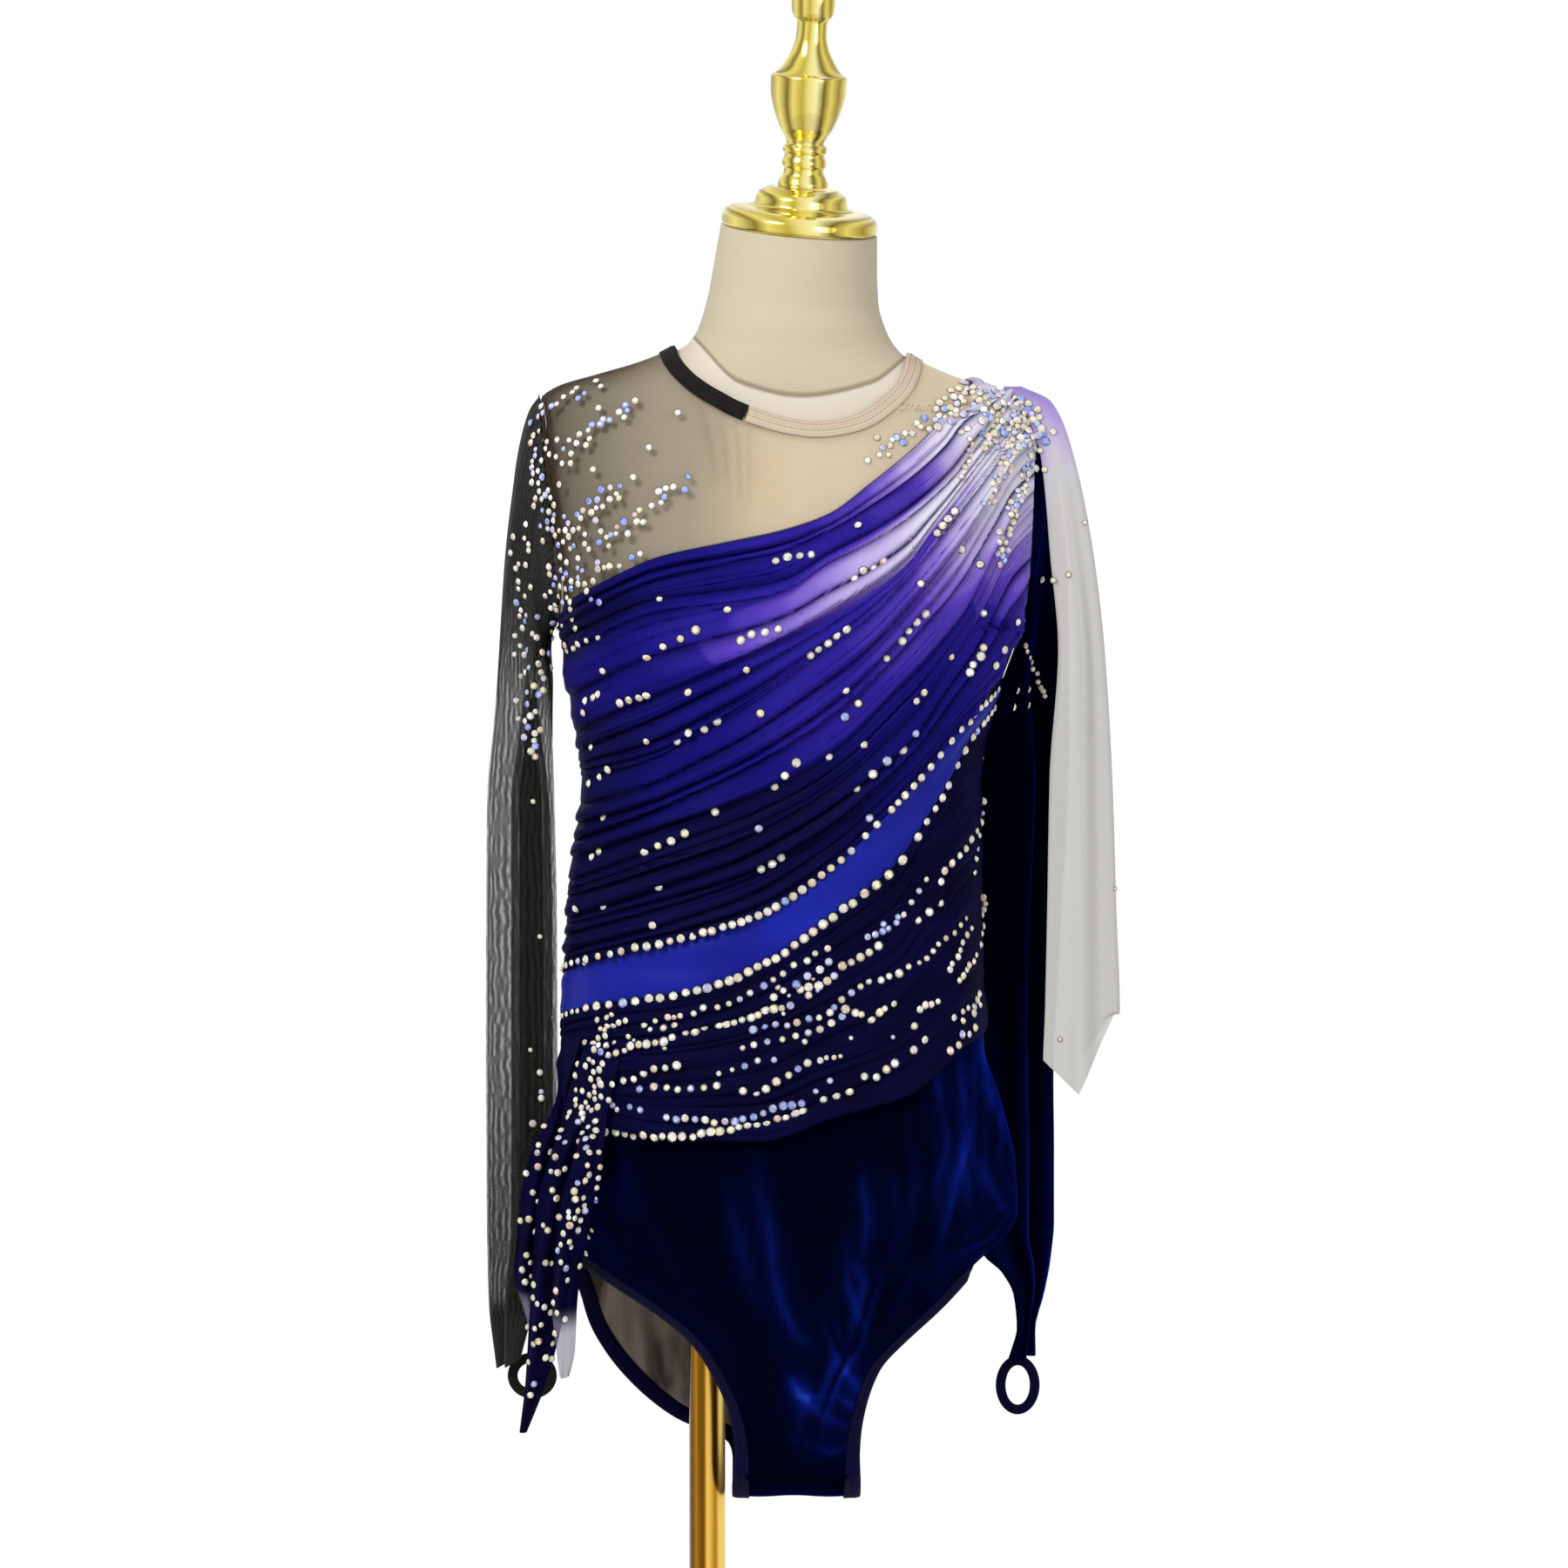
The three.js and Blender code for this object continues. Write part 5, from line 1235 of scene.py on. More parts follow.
def sleeve(name, columns, is_left, thickness, finishes, wrinkle):
    shares = np.linspace(0, 1, 151) ** 1.12
    grids = []
    for offset in (0, thickness):
        rings = []
        for t in shares:
            ix, iz, ox, oz, half_gap, y, fold = (float(c(t)) for c in columns)
            share, across, sign = folded_loop(fold, half_gap, half_gap + offset)
            inside = np.clip(share, 0, 1)
            if t == 0:
                rings.append(armhole_point(1 - inside, is_left, sign, offset))
                continue
            opened = float(smooth(5, 20, half_gap))
            bulge = np.sqrt(np.maximum(1 - (2 * inside - 1) ** 2, 0))
            length = math.hypot(ix - ox, iz - oz)
            past = offset * np.sign(share - 0.5) * (sign == 0)
            place = lerp(share, inside, opened) + past / length * opened
            deep = lerp(across, sign * (bulge * half_gap + offset), opened)
            ease = wrinkle(t, inside, sign) * smooth(0.0, 0.06, t) * smooth(0, 0.03, 1 - t)
            deep = y - deep - sign * ease
            rings.append(np.stack([ox + (ix - ox) * place, deep, oz + (iz - oz) * place], -1))
        grids.append(np.array(rings))
    dense = 1.2 - 1.05 * smooth(0.1, 0.34, shares) + 0.25 * smooth(0.6, 0.9, shares)
    dense = (dense + 1.2 * smooth(0.93, 0.975, shares))[:, None] + 0 * grids[0][..., 0]
    around = np.linspace(0, 2 * np.pi, dense.shape[1], endpoint=False)[None, :]
    # Soft streaks of painted sheen down the lower sleeve, read by the velvet finish only
    lit = 0.5 * smooth(0.5, 0.85, shares)[:, None] * (0.5 + 0.5 * np.sin(9 * around + 2 * shares[:, None]))
    return closed_wall(
        name, grids[0], grids[1], True, finishes, {"dense": dense, "flank": 0 * dense, "streak": lit},
    )


def sheer_creases(t, place, sign):
    soft = 0.9 * np.sin(11 * place + 5 * t) + 0.6 * np.sin(23 * place - 9 * t + sign)
    return soft * smooth(0.02, 0.2, t) * 0.5


def velvet_creases(t, place, sign):
    drag = (
        1.2 * np.sin(9 * place + 3 * t) + 1.0 * np.sin(17 * place - 6 * t + sign)
        + 0.7 * np.sin(38 * t + 5 * place)
    )
    return drag * 0.5


sleeve_sheer = sleeve("sleeve_sheer", LEFT_SLEEVE, True, SHEER, [net_black.material], sheer_creases)
dress(sleeve_sheer, "net_black")
sleeve_velvet = sleeve("sleeve_velvet", RIGHT_SLEEVE, False, CLOTH, VELVET, velvet_creases)
dress(sleeve_velvet, "velvet_navy")

# %% Finger loops
LOOP_AROUND, LOOP_SECTION = 64, 12
LOOP_HALF_WIDE, LOOP_HALF_DEEP, LOOP_ROUNDING = 3.5, 1.7, 0.7


def finger_loop(name, centre, half_width, half_height, slot):
    angle = np.linspace(0, 2 * np.pi, LOOP_AROUND, endpoint=False)[:, None]
    turn = np.linspace(0, 2 * np.pi, LOOP_SECTION, endpoint=False)[None, :]
    out = LOOP_HALF_WIDE * np.sign(np.cos(turn)) * np.abs(np.cos(turn)) ** LOOP_ROUNDING
    deep = LOOP_HALF_DEEP * np.sign(np.sin(turn)) * np.abs(np.sin(turn)) ** LOOP_ROUNDING + 0 * angle
    rings = (
        np.array(centre)
        + np.stack([(half_width + out) * np.cos(angle), deep, (half_height + out) * np.sin(angle)], -1)
    )
    index = np.arange(LOOP_AROUND * LOOP_SECTION).reshape(LOOP_AROUND, LOOP_SECTION)
    near = np.roll(index, -1, axis=0)
    faces = np.stack([index, near, np.roll(near, -1, axis=1), np.roll(index, -1, axis=1)], -1).reshape(-1, 4)
    points = rings.reshape(-1, 3)
    a, b, c = points[faces[:, 0]], points[faces[:, 1]], points[faces[:, 2]]
    if np.einsum("ij,ij->i", a - np.array(centre), np.cross(b - a, c - a)).sum() < 0:
        faces = faces[:, ::-1]
    piece = mesh_object(name, points, faces, [elastics[slot]])
    piece.data.uv_layers.new(name="cloth")
    dress(piece, slot)


finger_loop("finger_loop_left", (-121.5, 0, 641), 13.6, 12.7, "elastic_black")
finger_loop("finger_loop_right", (218, 44, 625.6), 12, 17.5, "elastic_navy")

# %% [markdown]
# ## Streamer and hip tails
# Chiffon strips that hang free. Each keeps the line of its solid and takes its own lengthwise waves, deeper
# towards the loose end, as a gathered strip has.

# %% Shoulder streamer
STREAMER = columns_of([
    [0.0, 203, 215, 1325, -14, 4], [0.04, 213, 234, 1315, -31, 5], [0.12, 227, 249, 1278, -42, 6],
    [0.25, 234, 263, 1210, -42, 7], [0.38, 240, 271, 1145, -38, 7], [0.55, 235, 277, 1060, -30, 7],
    [0.75, 234, 281, 965, -22, 7], [0.9, 233, 284, 893, -16, 7], [1.0, 232, 284, 840, -14, 7],
])
FRONT_SHARE, TURN_SHARE = 0.62, 0.14


def streamer_point(u, v):
    left, right, z, y, fold = (c(v) for c in STREAMER)
    front = np.clip(u / FRONT_SHARE, 0, 1)
    turn = np.clip((u - FRONT_SHARE) / TURN_SHARE, 0, 1)
    back = np.clip((u - FRONT_SHARE - TURN_SHARE) / (1 - FRONT_SHARE - TURN_SHARE), 0, 1)
    radius, width = fold / 2, right - left
    deep = 2.6 * np.sin(2.5 * np.pi * front + 0.8 * v) + 0.8 * np.sin(5.2 * np.pi * front + 2 * v)
    wave = deep * smooth(0.05, 0.5, v) * (1 - turn)
    x = left + (width - radius) * front + radius * np.sin(np.pi * turn) - 0.42 * width * back
    rise = np.where(front < 0.5, 46 * (0.5 - front), 110 * (front - 0.5) - 30 * back)
    return np.stack([x, y + wave + radius * (1 - np.cos(np.pi * turn)), z + rise * smooth(0.88, 1, v)], -1)


streamer = free_sheet(
    "shoulder_streamer", streamer_point, 110, 150, SHEER, [chiffon.material], None,
    {"dye": lambda u, v: smooth(0.03, 0.24, v + 0.03 * np.sin(7 * u) + 0.1 * u)},
)
dress(streamer, "chiffon_white")

# %% Hip tails
# The drape's lap at its hem, its cloth, a little air, and half of the tail's own cloth
TAIL_CLEARANCE = 2.6 + CLOTH + 0.4 + CLOTH / 2
WAVES = 1.5  # how many waves lie side by side in a tail


def tail(name, rows, sheer):
    columns = columns_of(rows)

    def point(u, v):
        left, right, z, y, deep = (c(v) for c in columns)
        x = lerp(left, right, u)
        small = 0.25 * deep * np.sin(np.pi * 4.3 * u + 5 * v)
        free = np.stack([x, y - deep * np.sin(np.pi * WAVES * u) - small, z], -1)
        across = share_at(x, z)
        sewn = worn(across, z, True) + worn_out(across, z, True) * TAIL_CLEARANCE
        return lerp(sewn, free, smooth(0.12, 0.36, v)[..., None])

    marks = {"sheer": lambda u, v: smooth(*sheer, v) + 0 * u}
    piece = free_sheet(name, point, 36, 90, CLOTH, [navy.material], None, marks)
    dress(piece, "drape_navy")


tail("hip_tail_outer", [
    [0, -90, -80, 884, -44, 1], [0.2, -105, -92, 842, -45, 3], [0.5, -125, -102, 780, -43, 5],
    [0.8, -131, -109, 716, -40, 5], [0.9, -126, -110, 700, -40, 4], [1, -120, -112, 680, -40, 3],
], (0.84, 0.92))
tail("hip_tail_middle", [
    [0, -77, -63, 880, -62, 1], [0.2, -91, -74, 840, -65, 3], [0.5, -114, -88, 770, -62, 5],
    [0.8, -120, -98, 690, -58, 5], [0.92, -123, -110, 645, -54, 3], [1, -127, -123, 612, -52, 1],
], (1.5, 2))
tail("hip_tail_inner", [
    [0, -66, -55, 872, -80, 1], [0.2, -78, -64, 832, -86, 3], [0.5, -97, -76, 772, -86, 5],
    [0.8, -103, -87, 704, -80, 5], [0.93, -100, -89, 672, -78, 4], [1, -98, -93, 655, -76, 3],
], (0.8, 0.88))

# %% [markdown]
# ## The form and its stand
# The form is padded board under a cream cover. The neck cap, finial and foot are turned, so each is one
# profile spun round its axis. A smooth curve through the profile's few sizes gives the rounded beads of
# turned metal.

# %% Form body
FORM_BOTTOM, FORM_TOP, LEAN, NOD = 757, 1432, 0.085, 0.15
# height, left, right, front and back bulge, squareness
FORM = columns_of([
    [757, -62, 70, 58, 56, 2.1], [764, -76, 84, 68, 66, 2.1], [790, -84, 98, 77, 75, 2.1],
    [830, -88, 109, 82, 80, 2.2], [873, -92, 120, 84, 82, 2.2], [933, -88, 126, 78, 76, 2.2],
    [993, -82, 130, 76, 72, 2.2], [1053, -78, 137, 82, 75, 2.2], [1113, -86, 160, 92, 80, 2.2],
    [1160, -91.5, 180, 97, 83.5, 2.3], [1200, -100, 195, 94, 87, 2.5], [1240, -105, 207, 84, 87, 2.7],
    [1280, -109, 217, 73, 80, 2.8], [1300, -109, 216, 65.5, 73.5, 2.7], [1311, -107, 214, 61.6, 69, 2.6],
    [1319, -99, 209.5, 59.5, 66, 2.5], [1328, -74, 188, 58, 63, 2.3], [1337, -46, 161, 56, 60, 2.2],
    [1345, -25, 141, 54.5, 57, 2.1], [1353, -12, 131, 53.5, 55, 2.0], [1364, -5, 124, 53, 53, 2.0],
    [1385, 1.5, 118, 51, 51, 2.0], [1408, 6, 117, 51, 51, 2.0], [1432, 10.5, 117, 50, 50, 2.0],
])


NECK_FOOT = 1352


def stacked(name, rings, finish):
    """Rings of points stacked into one closed piece, a fan at each end."""
    rows, around = rings.shape[:2]
    points = np.concatenate([rings.reshape(-1, 3), rings[:1].mean(1), rings[-1:].mean(1)])
    index = np.arange(rows * around).reshape(rows, around)
    near = np.roll(index, -1, axis=1)
    sides = np.stack([index[:-1], near[:-1], near[1:], index[1:]], -1).reshape(-1, 4).tolist()
    ends = [(rows * around, int(b), int(a)) for a, b in zip(index[0], near[0])]
    ends += [(rows * around + 1, int(a), int(b)) for a, b in zip(index[-1], near[-1])]
    return mesh_object(name, points, sides + ends, [finish])


levels = np.r_[
    np.linspace(FORM_BOTTOM, 764, 8), np.linspace(768, 1290, 90), np.linspace(1293, FORM_TOP, 94),
][:, None]
around = np.linspace(0, 2 * np.pi, 144, endpoint=False)[None, :]
left, right, bulge_front, bulge_back, square = (c(levels) for c in FORM)
half, depth = (right - left) / 2, np.where(np.cos(around) > 0, bulge_front, bulge_back)
radius = egg_radius(np.sin(around), np.cos(around), half, depth, square)
neck = smooth(NECK_FOOT, FORM_TOP, levels)
fx, fy = radius * np.sin(around), -radius * np.cos(around)
drop = lerp(tilt_at(levels), LEAN, neck) * fx - NOD * neck * fy
form_points = np.stack([(left + right) / 2 + fx, fy, levels - drop], -1)
form = stacked("form_cover_cloth", form_points, form_cover.material)
neck_seam = curve_through(
    [-40, -12, -5, 24, 65, 112, 132, 142, 170], [1420, 1364, 1356, 1328, 1319, 1328, 1342, 1354, 1420],
)(form_points[..., 0])
above = form_points[..., 2] - np.where(fy < 0, neck_seam, np.maximum(NECK_FOOT, neck_seam))
mark_points(form.data, "neck", np.r_[np.clip(0.5 + above / 100, 0, 1).ravel(), 0, 1])
stand_for(form, "form_body", "form_cover")

# %% Turned metal
CAP_HEIGHT, SET_BACK, FINIAL_FOOT = 29, 0.028, 17
CAP_MIDDLE = (10.5 + 117) / 2
METAL_CREASE = math.radians(40)


def spun(profile, steps, around=96):
    """A profile of (radius, height) pairs spun round the vertical axis, with its curves made finer."""
    profile = np.array(profile, float)
    t = run_along(profile)
    fine = np.sort(np.r_[t, np.linspace(0, t[-1], steps)])
    r, h = curve_through(t, profile[:, 0])(fine), curve_through(t, profile[:, 1])(fine)
    angle = np.linspace(0, 2 * np.pi, around, endpoint=False)[None, :]
    keep = r > 0.05
    r, h = r[keep][:, None], h[keep][:, None]
    return np.stack([r * np.cos(angle), r * np.sin(angle), h + 0 * angle], -1)


def turned_by(angle, first, second):
    """A turn by an angle that carries the second axis towards the first."""
    turn = np.eye(3)
    turn[first, first] = turn[second, second] = math.cos(angle)
    turn[first, second], turn[second, first] = math.sin(angle), -math.sin(angle)
    return turn


def leaned(rings, about_y=0.0, lift=0.0):
    """Leans a spun piece with the neck, as the cap does."""
    rings = rings @ turned_by(about_y, 0, 2).T + np.array([0, 0, lift])
    leaning = turned_by(-math.atan(NOD), 1, 2) @ turned_by(math.atan(LEAN), 0, 2)
    return rings @ leaning.T + np.array([CAP_MIDDLE, 0, FORM_TOP + GAP])


CAP_PROFILE = [
    (0, 0), (51, 0), (53.2, 2.2), (53.5, 4), (53, 8), (49, 12.5), (42, 14.3), (36, 15), (33.5, 16), (32, 17),
    (31.6, 19), (31, 22), (29.6, 24.6), (27, 26.5), (23.5, 28.4), (20, 29), (0, 29),
]
FINIAL_PROFILE = [
    (0, 0), (17, 0), (17.3, 1.5), (16, 5), (13.9, 9), (13.5, 12), (14.9, 14), (15.2, 16), (14.7, 18),
    (13.9, 20), (13.6, 22), (14.9, 23.5), (15.3, 25), (14.4, 27), (12.8, 29), (18.3, 40), (23.1, 52),
    (25.8, 65), (26, 73.5), (25.3, 75), (24, 75.5), (21, 78), (17.5, 83), (13, 91.5), (10.4, 102),
    (10.2, 110.5), (11.6, 112.8), (13, 114.5), (14.5, 119), (14.8, 125), (14.4, 129.5), (13, 134),
    (10.6, 137.4), (7.5, 139.5), (3.5, 140.8), (0, 141),
]
FOOT_PROFILE = [
    (0, 0), (152, 0), (153, 0), (155, 2), (155, 7), (153, 9), (151, 10), (60, 14), (40, 15.4), (24, 17),
    (19, 20), (17.5, 22), (0, 22),
]
POLE_PROFILE = [(0, 22.3), (12.2, 22.3), (12.5, 22.8), (12.5, 756), (12.2, 756.4), (0, 756.4)]
finial_rings = leaned(spun(FINIAL_PROFILE, 150, 72), -SET_BACK, CAP_HEIGHT + GAP + FINIAL_FOOT * SET_BACK)
for name, node, rings, finish, slot in (
    ("neck_cap_turned", "neck_cap", leaned(spun(CAP_PROFILE, 70)), gold, "gold_polished"),
    ("finial_turned", "finial", finial_rings, gold, "gold_polished"),
    ("stand_foot_turned", "stand_foot", spun(FOOT_PROFILE, 80), gold, "gold_polished"),
    ("pole_tube", "stand_pole", spun(POLE_PROFILE, 40, 64), pole_gold, "gold_satin"),
):
    piece = stacked(name, rings, finish.material)
    stand_for(piece, node, slot)
    piece.data.set_sharp_from_angle(angle=METAL_CREASE)

# %% [markdown]
# ## The camera, and where a line of sight meets the dress
# Stones are placed by where they are seen. A line of sight from the camera through that place is followed
# until it meets the cloth, and the stone is set there, square to the cloth, so that it sits right from
# every side.

# %% Camera
AIM = np.array([53.4, 0.0, 1053.0])
DISTANCE, RISE = 3200.0, math.radians(4)
EYE = AIM + DISTANCE * np.array([0, -math.cos(RISE), math.sin(RISE)])


def turn_towards(thing, place, aim):
    """A camera or light at a place looks towards its aim."""
    thing.rotation_euler = (Vector(aim) - Vector(place)).to_track_quat("-Z", "Y").to_euler()


camera_data = bpy.data.cameras.new("studio_camera")
camera_data.lens, camera_data.sensor_width = 106.7, 36
camera = put("studio_camera", camera_data)
camera.location = EYE * MM
turn_towards(camera, EYE, AIM)
bpy.context.scene.camera = camera

# %% Lines of sight
PICTURE_MIDDLE, MM_PER_STEP = 900.0, 0.6
FORWARD = unit(AIM - EYE)
UPWARD = np.array([0, math.sin(RISE), math.cos(RISE)])


def sight(across, down):
    """The way from the camera through a place of the 1800-wide view."""
    way = FORWARD * DISTANCE + np.array([1.0, 0, 0]) * (across - PICTURE_MIDDLE) * MM_PER_STEP
    return unit(way + UPWARD * (PICTURE_MIDDLE - down) * MM_PER_STEP)


def tree_of(names):
    """The inner surface and outer surface of these pieces, ready to be met by a line."""
    points, faces, start = [], [], 0
    for name in names:
        p, f = DRESSED[name]
        points.append(p)
        faces += (f + start).tolist()
        start += len(p)
    return BVHTree.FromPolygons(np.concatenate(points).tolist(), faces)


FRONT_CLOTH = tree_of([
    "drape_upper", "waist_band", "drape_lower", "brief_front", "yoke_front", "sleeve_sheer", "sleeve_velvet",
    "shoulder_streamer", "hip_tail_outer", "hip_tail_middle", "hip_tail_inner",
])


LIFTED = 0.4  # a stone's foot stands this far off the cloth
# Where its cloth is felt for, in steps of the view
NEIGHBOURS = (0, 0), (4, 0), (-4, 0), (0, 4), (0, -4)
SAME_FOLD = 8  # cloth further off than this belongs to another fold


def land(spots):
    """Each spot is (across, down, size, tint). Gives the places, ways and facts of those that meet cloth."""
    kept = []
    for across, down, size, tint in spots:
        places, ways = [], []
        for dx, dy in NEIGHBOURS:
            where, out, _, _ = FRONT_CLOTH.ray_cast(Vector(EYE), Vector(sight(across + dx, down + dy)), 5000)
            if where is not None and (not places or (where - places[0]).length < SAME_FOLD):
                places.append(where)
                ways.append(out if out.dot(Vector(FORWARD)) < 0 else -out)
            elif not places:
                break
        if places:
            way = sum(ways, Vector((0, 0, 0))).normalized()
            kept.append((tuple(places[0] + way * LIFTED), tuple(way), size, tint))
    return kept


# %% [markdown]
# ## Stones
# The stones are flat-backed and faceted, 3 to 7 mm wide, glued one by one. One stone is a low eight-sided
# cone with its tip cut off. Geometry Nodes set a copy of it on each place, turned to the cloth and sized by
# the place's own numbers. That keeps a thousand stones in one small tree with a fixed seed.

# %% Trees that set copies of a small shape on marked points


def copies_tree(name, inputs, result, way, shape):
    """A tree of copies that stand along the points' own way. shape gives the copy and what else places it."""
    tree = bpy.data.node_groups.new(name, "GeometryNodeTree")
    for label, kind, value in (("Places", "Geometry", None), *inputs, ("Finish", "Material", None)):
        socket = tree.interface.new_socket(label, in_out="INPUT", socket_type="NodeSocket" + kind)
        if value is not None:
            socket.default_value = value
    tree.interface.new_socket(result, in_out="OUTPUT", socket_type="NodeSocketGeometry")
    given = tree.nodes.new("NodeGroupInput").outputs

    def add(kind, values, **settings):
        return add_node(tree, kind, settings, values)

    def named(attribute, kind):
        return add(
            "GeometryNodeInputNamedAttribute", {"Name": attribute}, data_type=kind,
        ).outputs["Attribute"]

    points = add("GeometryNodeMeshToPoints", {"Mesh": given["Places"]})
    turned = add(
        "FunctionNodeAlignRotationToVector", {"Vector": named(way, "FLOAT_VECTOR")}, axis="Z",
    ).outputs[0]
    own = {"Points": points.outputs[0], "Rotation": turned, **shape(add, named, given, turned)}
    place = add("GeometryNodeInstanceOnPoints", own)
    real = add("GeometryNodeRealizeInstances", {0: place.outputs[0]})
    finish = add("GeometryNodeSetMaterial", {"Geometry": real.outputs[0], "Material": given["Finish"]})
    add("NodeGroupOutput", {0: finish.outputs[0]})
    return tree


def grown(name, tree, points, marks, own):
    """A plain mesh of the copies that a tree sets on the marked points."""
    seeds = bpy.data.meshes.new(name + "_places")
    seeds.from_pydata((points * MM).tolist(), [], [])
    for mark, values in marks.items():
        mark_points(seeds, mark, values)
    holder = put(name + "_holder", seeds)
    modifier = holder.modifiers.new(tree.name, "NODES")
    modifier.node_group = tree
    for item in tree.interface.items_tree:
        if item.item_type == "SOCKET" and item.in_out == "INPUT" and item.name != "Places":
            modifier[item.identifier] = own.get(item.name, item.default_value)
    depsgraph = bpy.context.evaluated_depsgraph_get()
    real = holder.evaluated_get(depsgraph)
    mesh = bpy.data.meshes.new_from_object(real, preserve_all_data_layers=True, depsgraph=depsgraph)
    bpy.data.objects.remove(holder)
    piece = put(name, mesh)
    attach(piece, "root")
    print(f"{name}: {len(points)} copies, {len(mesh.polygons)} faces")
    return piece


# %% The stone tree
EIGHTH_TURN = 0.785


def stone_shape(add, named, given, turned):
    """A faceted cone over a dark backing disc a little wider than it, whose rim is painted shade round the
    stone's foot, spun by chance about its own axis.
    """
    cone = add("GeometryNodeMeshCone", {
        "Radius Bottom": 1.0, "Vertices": given["Facets"], "Radius Top": given["Table Share"],
        "Depth": given["Height Share"],
    })
    foil = add(
        "GeometryNodeMeshCylinder",
        {"Vertices": given["Facets"], "Radius": given["Foil Radius"], "Depth": 0.1},
    )
    marked = add(
        "GeometryNodeStoreNamedAttribute", {"Name": "foil", "Value": 1.0, "Geometry": foil.outputs["Mesh"]},
    )
    whole = add("GeometryNodeJoinGeometry", {0: marked.outputs[0]})
    whole.id_data.links.new(cone.outputs["Mesh"], whole.inputs[0])
    spin = add("FunctionNodeRandomValue", {"Max": EIGHTH_TURN, "Seed": given["Seed"]}, data_type="FLOAT")
    chance = [s for s in spin.outputs if s.type == "VALUE"][0]
    axis = add("FunctionNodeAxisAngleToRotation", {"Axis": (0, 0, 1), "Angle": chance})
    both = {"Rotation": turned, "Rotate By": axis.outputs[0]}
    both = add("FunctionNodeRotateRotation", both, rotation_space="LOCAL")
    return {"Instance": whole.outputs[0], "Rotation": both.outputs[0], "Scale": named("size", "FLOAT")}


STONE_TREE = copies_tree("set_stones", [
    ("Facets", "Int", 8), ("Table Share", "Float", 0.52), ("Height Share", "Float", 0.5),
    ("Foil Radius", "Float", 1.2), ("Seed", "Int", 3),
], "Stones", "facing", stone_shape)

# %% Stone finishes: clear stones with a rainbow coat, each with its own tint
stone = Finish("crystal_rainbow", Metallic=0.1, Roughness=0.35, IOR=1.5, Coat_Weight=0.12, Coat_Roughness=0.1)
tint = stone.attribute("tint")
facet_way = stone.node("ShaderNodeNewGeometry").outputs["Normal"]
facet_place = stone.node(
    "ShaderNodeVectorMath", {"operation": "SCALE"}, {0: facet_way, "Scale": 3.1},
).outputs[0]
facet_values = {"Vector": facet_place, "W": tint * 37, "Scale": 1.0, "Detail": 1.0}
facet = Shade(
    stone, stone.node("ShaderNodeTexNoise", {"noise_dimensions": "4D"}, facet_values).outputs["Fac"],
)
body = stone.ramp(
    tint, (0.0, "f3ead8"), (0.3, "ece6df"), (0.5, "e2d9a8"), (0.62, "e6c3bd"), (0.74, "c6c3ee"),
    (0.86, "8fa2ee"), (1.0, "6f8ff0"),
)
# Bright and dark facets are painted: glint marks painted highlights, and cut holds the painted light and
# shade of the facets
glint = ((facet - 0.36) * 3.4).clamped()
cut = stone.blend(glint, stone.blend(0.28, body, "6a6468"), stone.blend(0.4, body, "fffdf5"))
foil = stone.attribute("foil")
# The dark rim of the backing disc round each stone is painted shade at its foot
stone.feed("Base Color", stone.blend(foil, cut, "0a0912"))
# A weak glow in the stones' own colours, strongest on glinting facets: painted light
stone.feed("Emission Color", stone.blend(foil, stone.blend(glint ** 1.6, "2a2724", body), "000000"))
stone.shader.inputs["Emission Strength"].default_value = 0.3


def set_stones(name, landed, foil_and_shade_radius=1.15):
    """A plain mesh of faceted stones on the landed places."""
    places, ways, sizes, tints = (np.array(column) for column in zip(*landed))
    marks = {"facing": ways, "size": sizes / 2 * MM, "tint": tints}
    mesh = grown(name, STONE_TREE, places, marks, {"Finish": stone.material, "Foil Radius": foil_and_shade_radius}).data
    mesh.name = name
    mesh.shade_flat()


# %% [markdown]
# ## Where the stones go
# Rows follow the pleats, both edges of the band carry one row each, and the shoulders are strewn thickly.
# A row is named by its two ends, how many stones it has and their size. Strewn areas use a fixed seed.

# %% Stones in rows and strewn stones
STONES = np.random.default_rng(20)


def pick_tint(blue=0.12, warm=0.2):
    draw = STONES.random()
    if draw < blue:
        return STONES.uniform(0.7, 1.0)
    return STONES.uniform(0.45, 0.62) if draw < blue + warm else STONES.uniform(0.0, 0.4)


def row(start, end, count, size=5.9, jitter=1.0, blue=0.05, warm=0.25):
    """Stones on the straight line from start to end."""
    spots = []
    for i in range(count):
        t = i / max(1, count - 1)
        x, y = (lerp(a, b, t) + STONES.normal(0, jitter) for a, b in zip(start, end))
        spots.append((x, y, size * STONES.uniform(0.85, 1.1), pick_tint(blue, warm)))
    return spots


def strung(path, count, size=5.2, blue=0.1, warm=0.3, spread=1.0):
    """Stones along a drawn path."""
    path = np.array(path, float)
    lengths, spots = run_along(path), []
    for t in np.linspace(0, lengths[-1], count):
        x, y = (np.interp(t, lengths, line) + STONES.normal(0, spread) for line in path.T)
        spots.append((x, y, size * STONES.uniform(0.8, 1.15), pick_tint(blue, warm)))
    return spots


def strewn(middle, reach, count, size=4.2, angle=0.0, blue=0.3, warm=0.15):
    """Stones scattered about a middle, thinning outwards."""
    spots, c, s = [], math.cos(math.radians(angle)), math.sin(math.radians(angle))
    for _ in range(count):
        a, b = STONES.normal(0, 0.5, 2) * np.array(reach)
        x, y = middle[0] + a * c - b * s, middle[1] + a * s + b * c
        spots.append((x, y, size * STONES.uniform(0.6, 1.35), pick_tint(blue, warm)))
    return spots


def spaced(spots, closest=6.5):
    """Leaves out a stone that would lie on another one."""
    kept = []
    for spot in spots:
        if all(math.hypot(spot[0] - k[0], spot[1] - k[1]) > closest * (spot[2] + k[2]) / 9.5 for k in kept):
            kept.append(spot)
    return kept


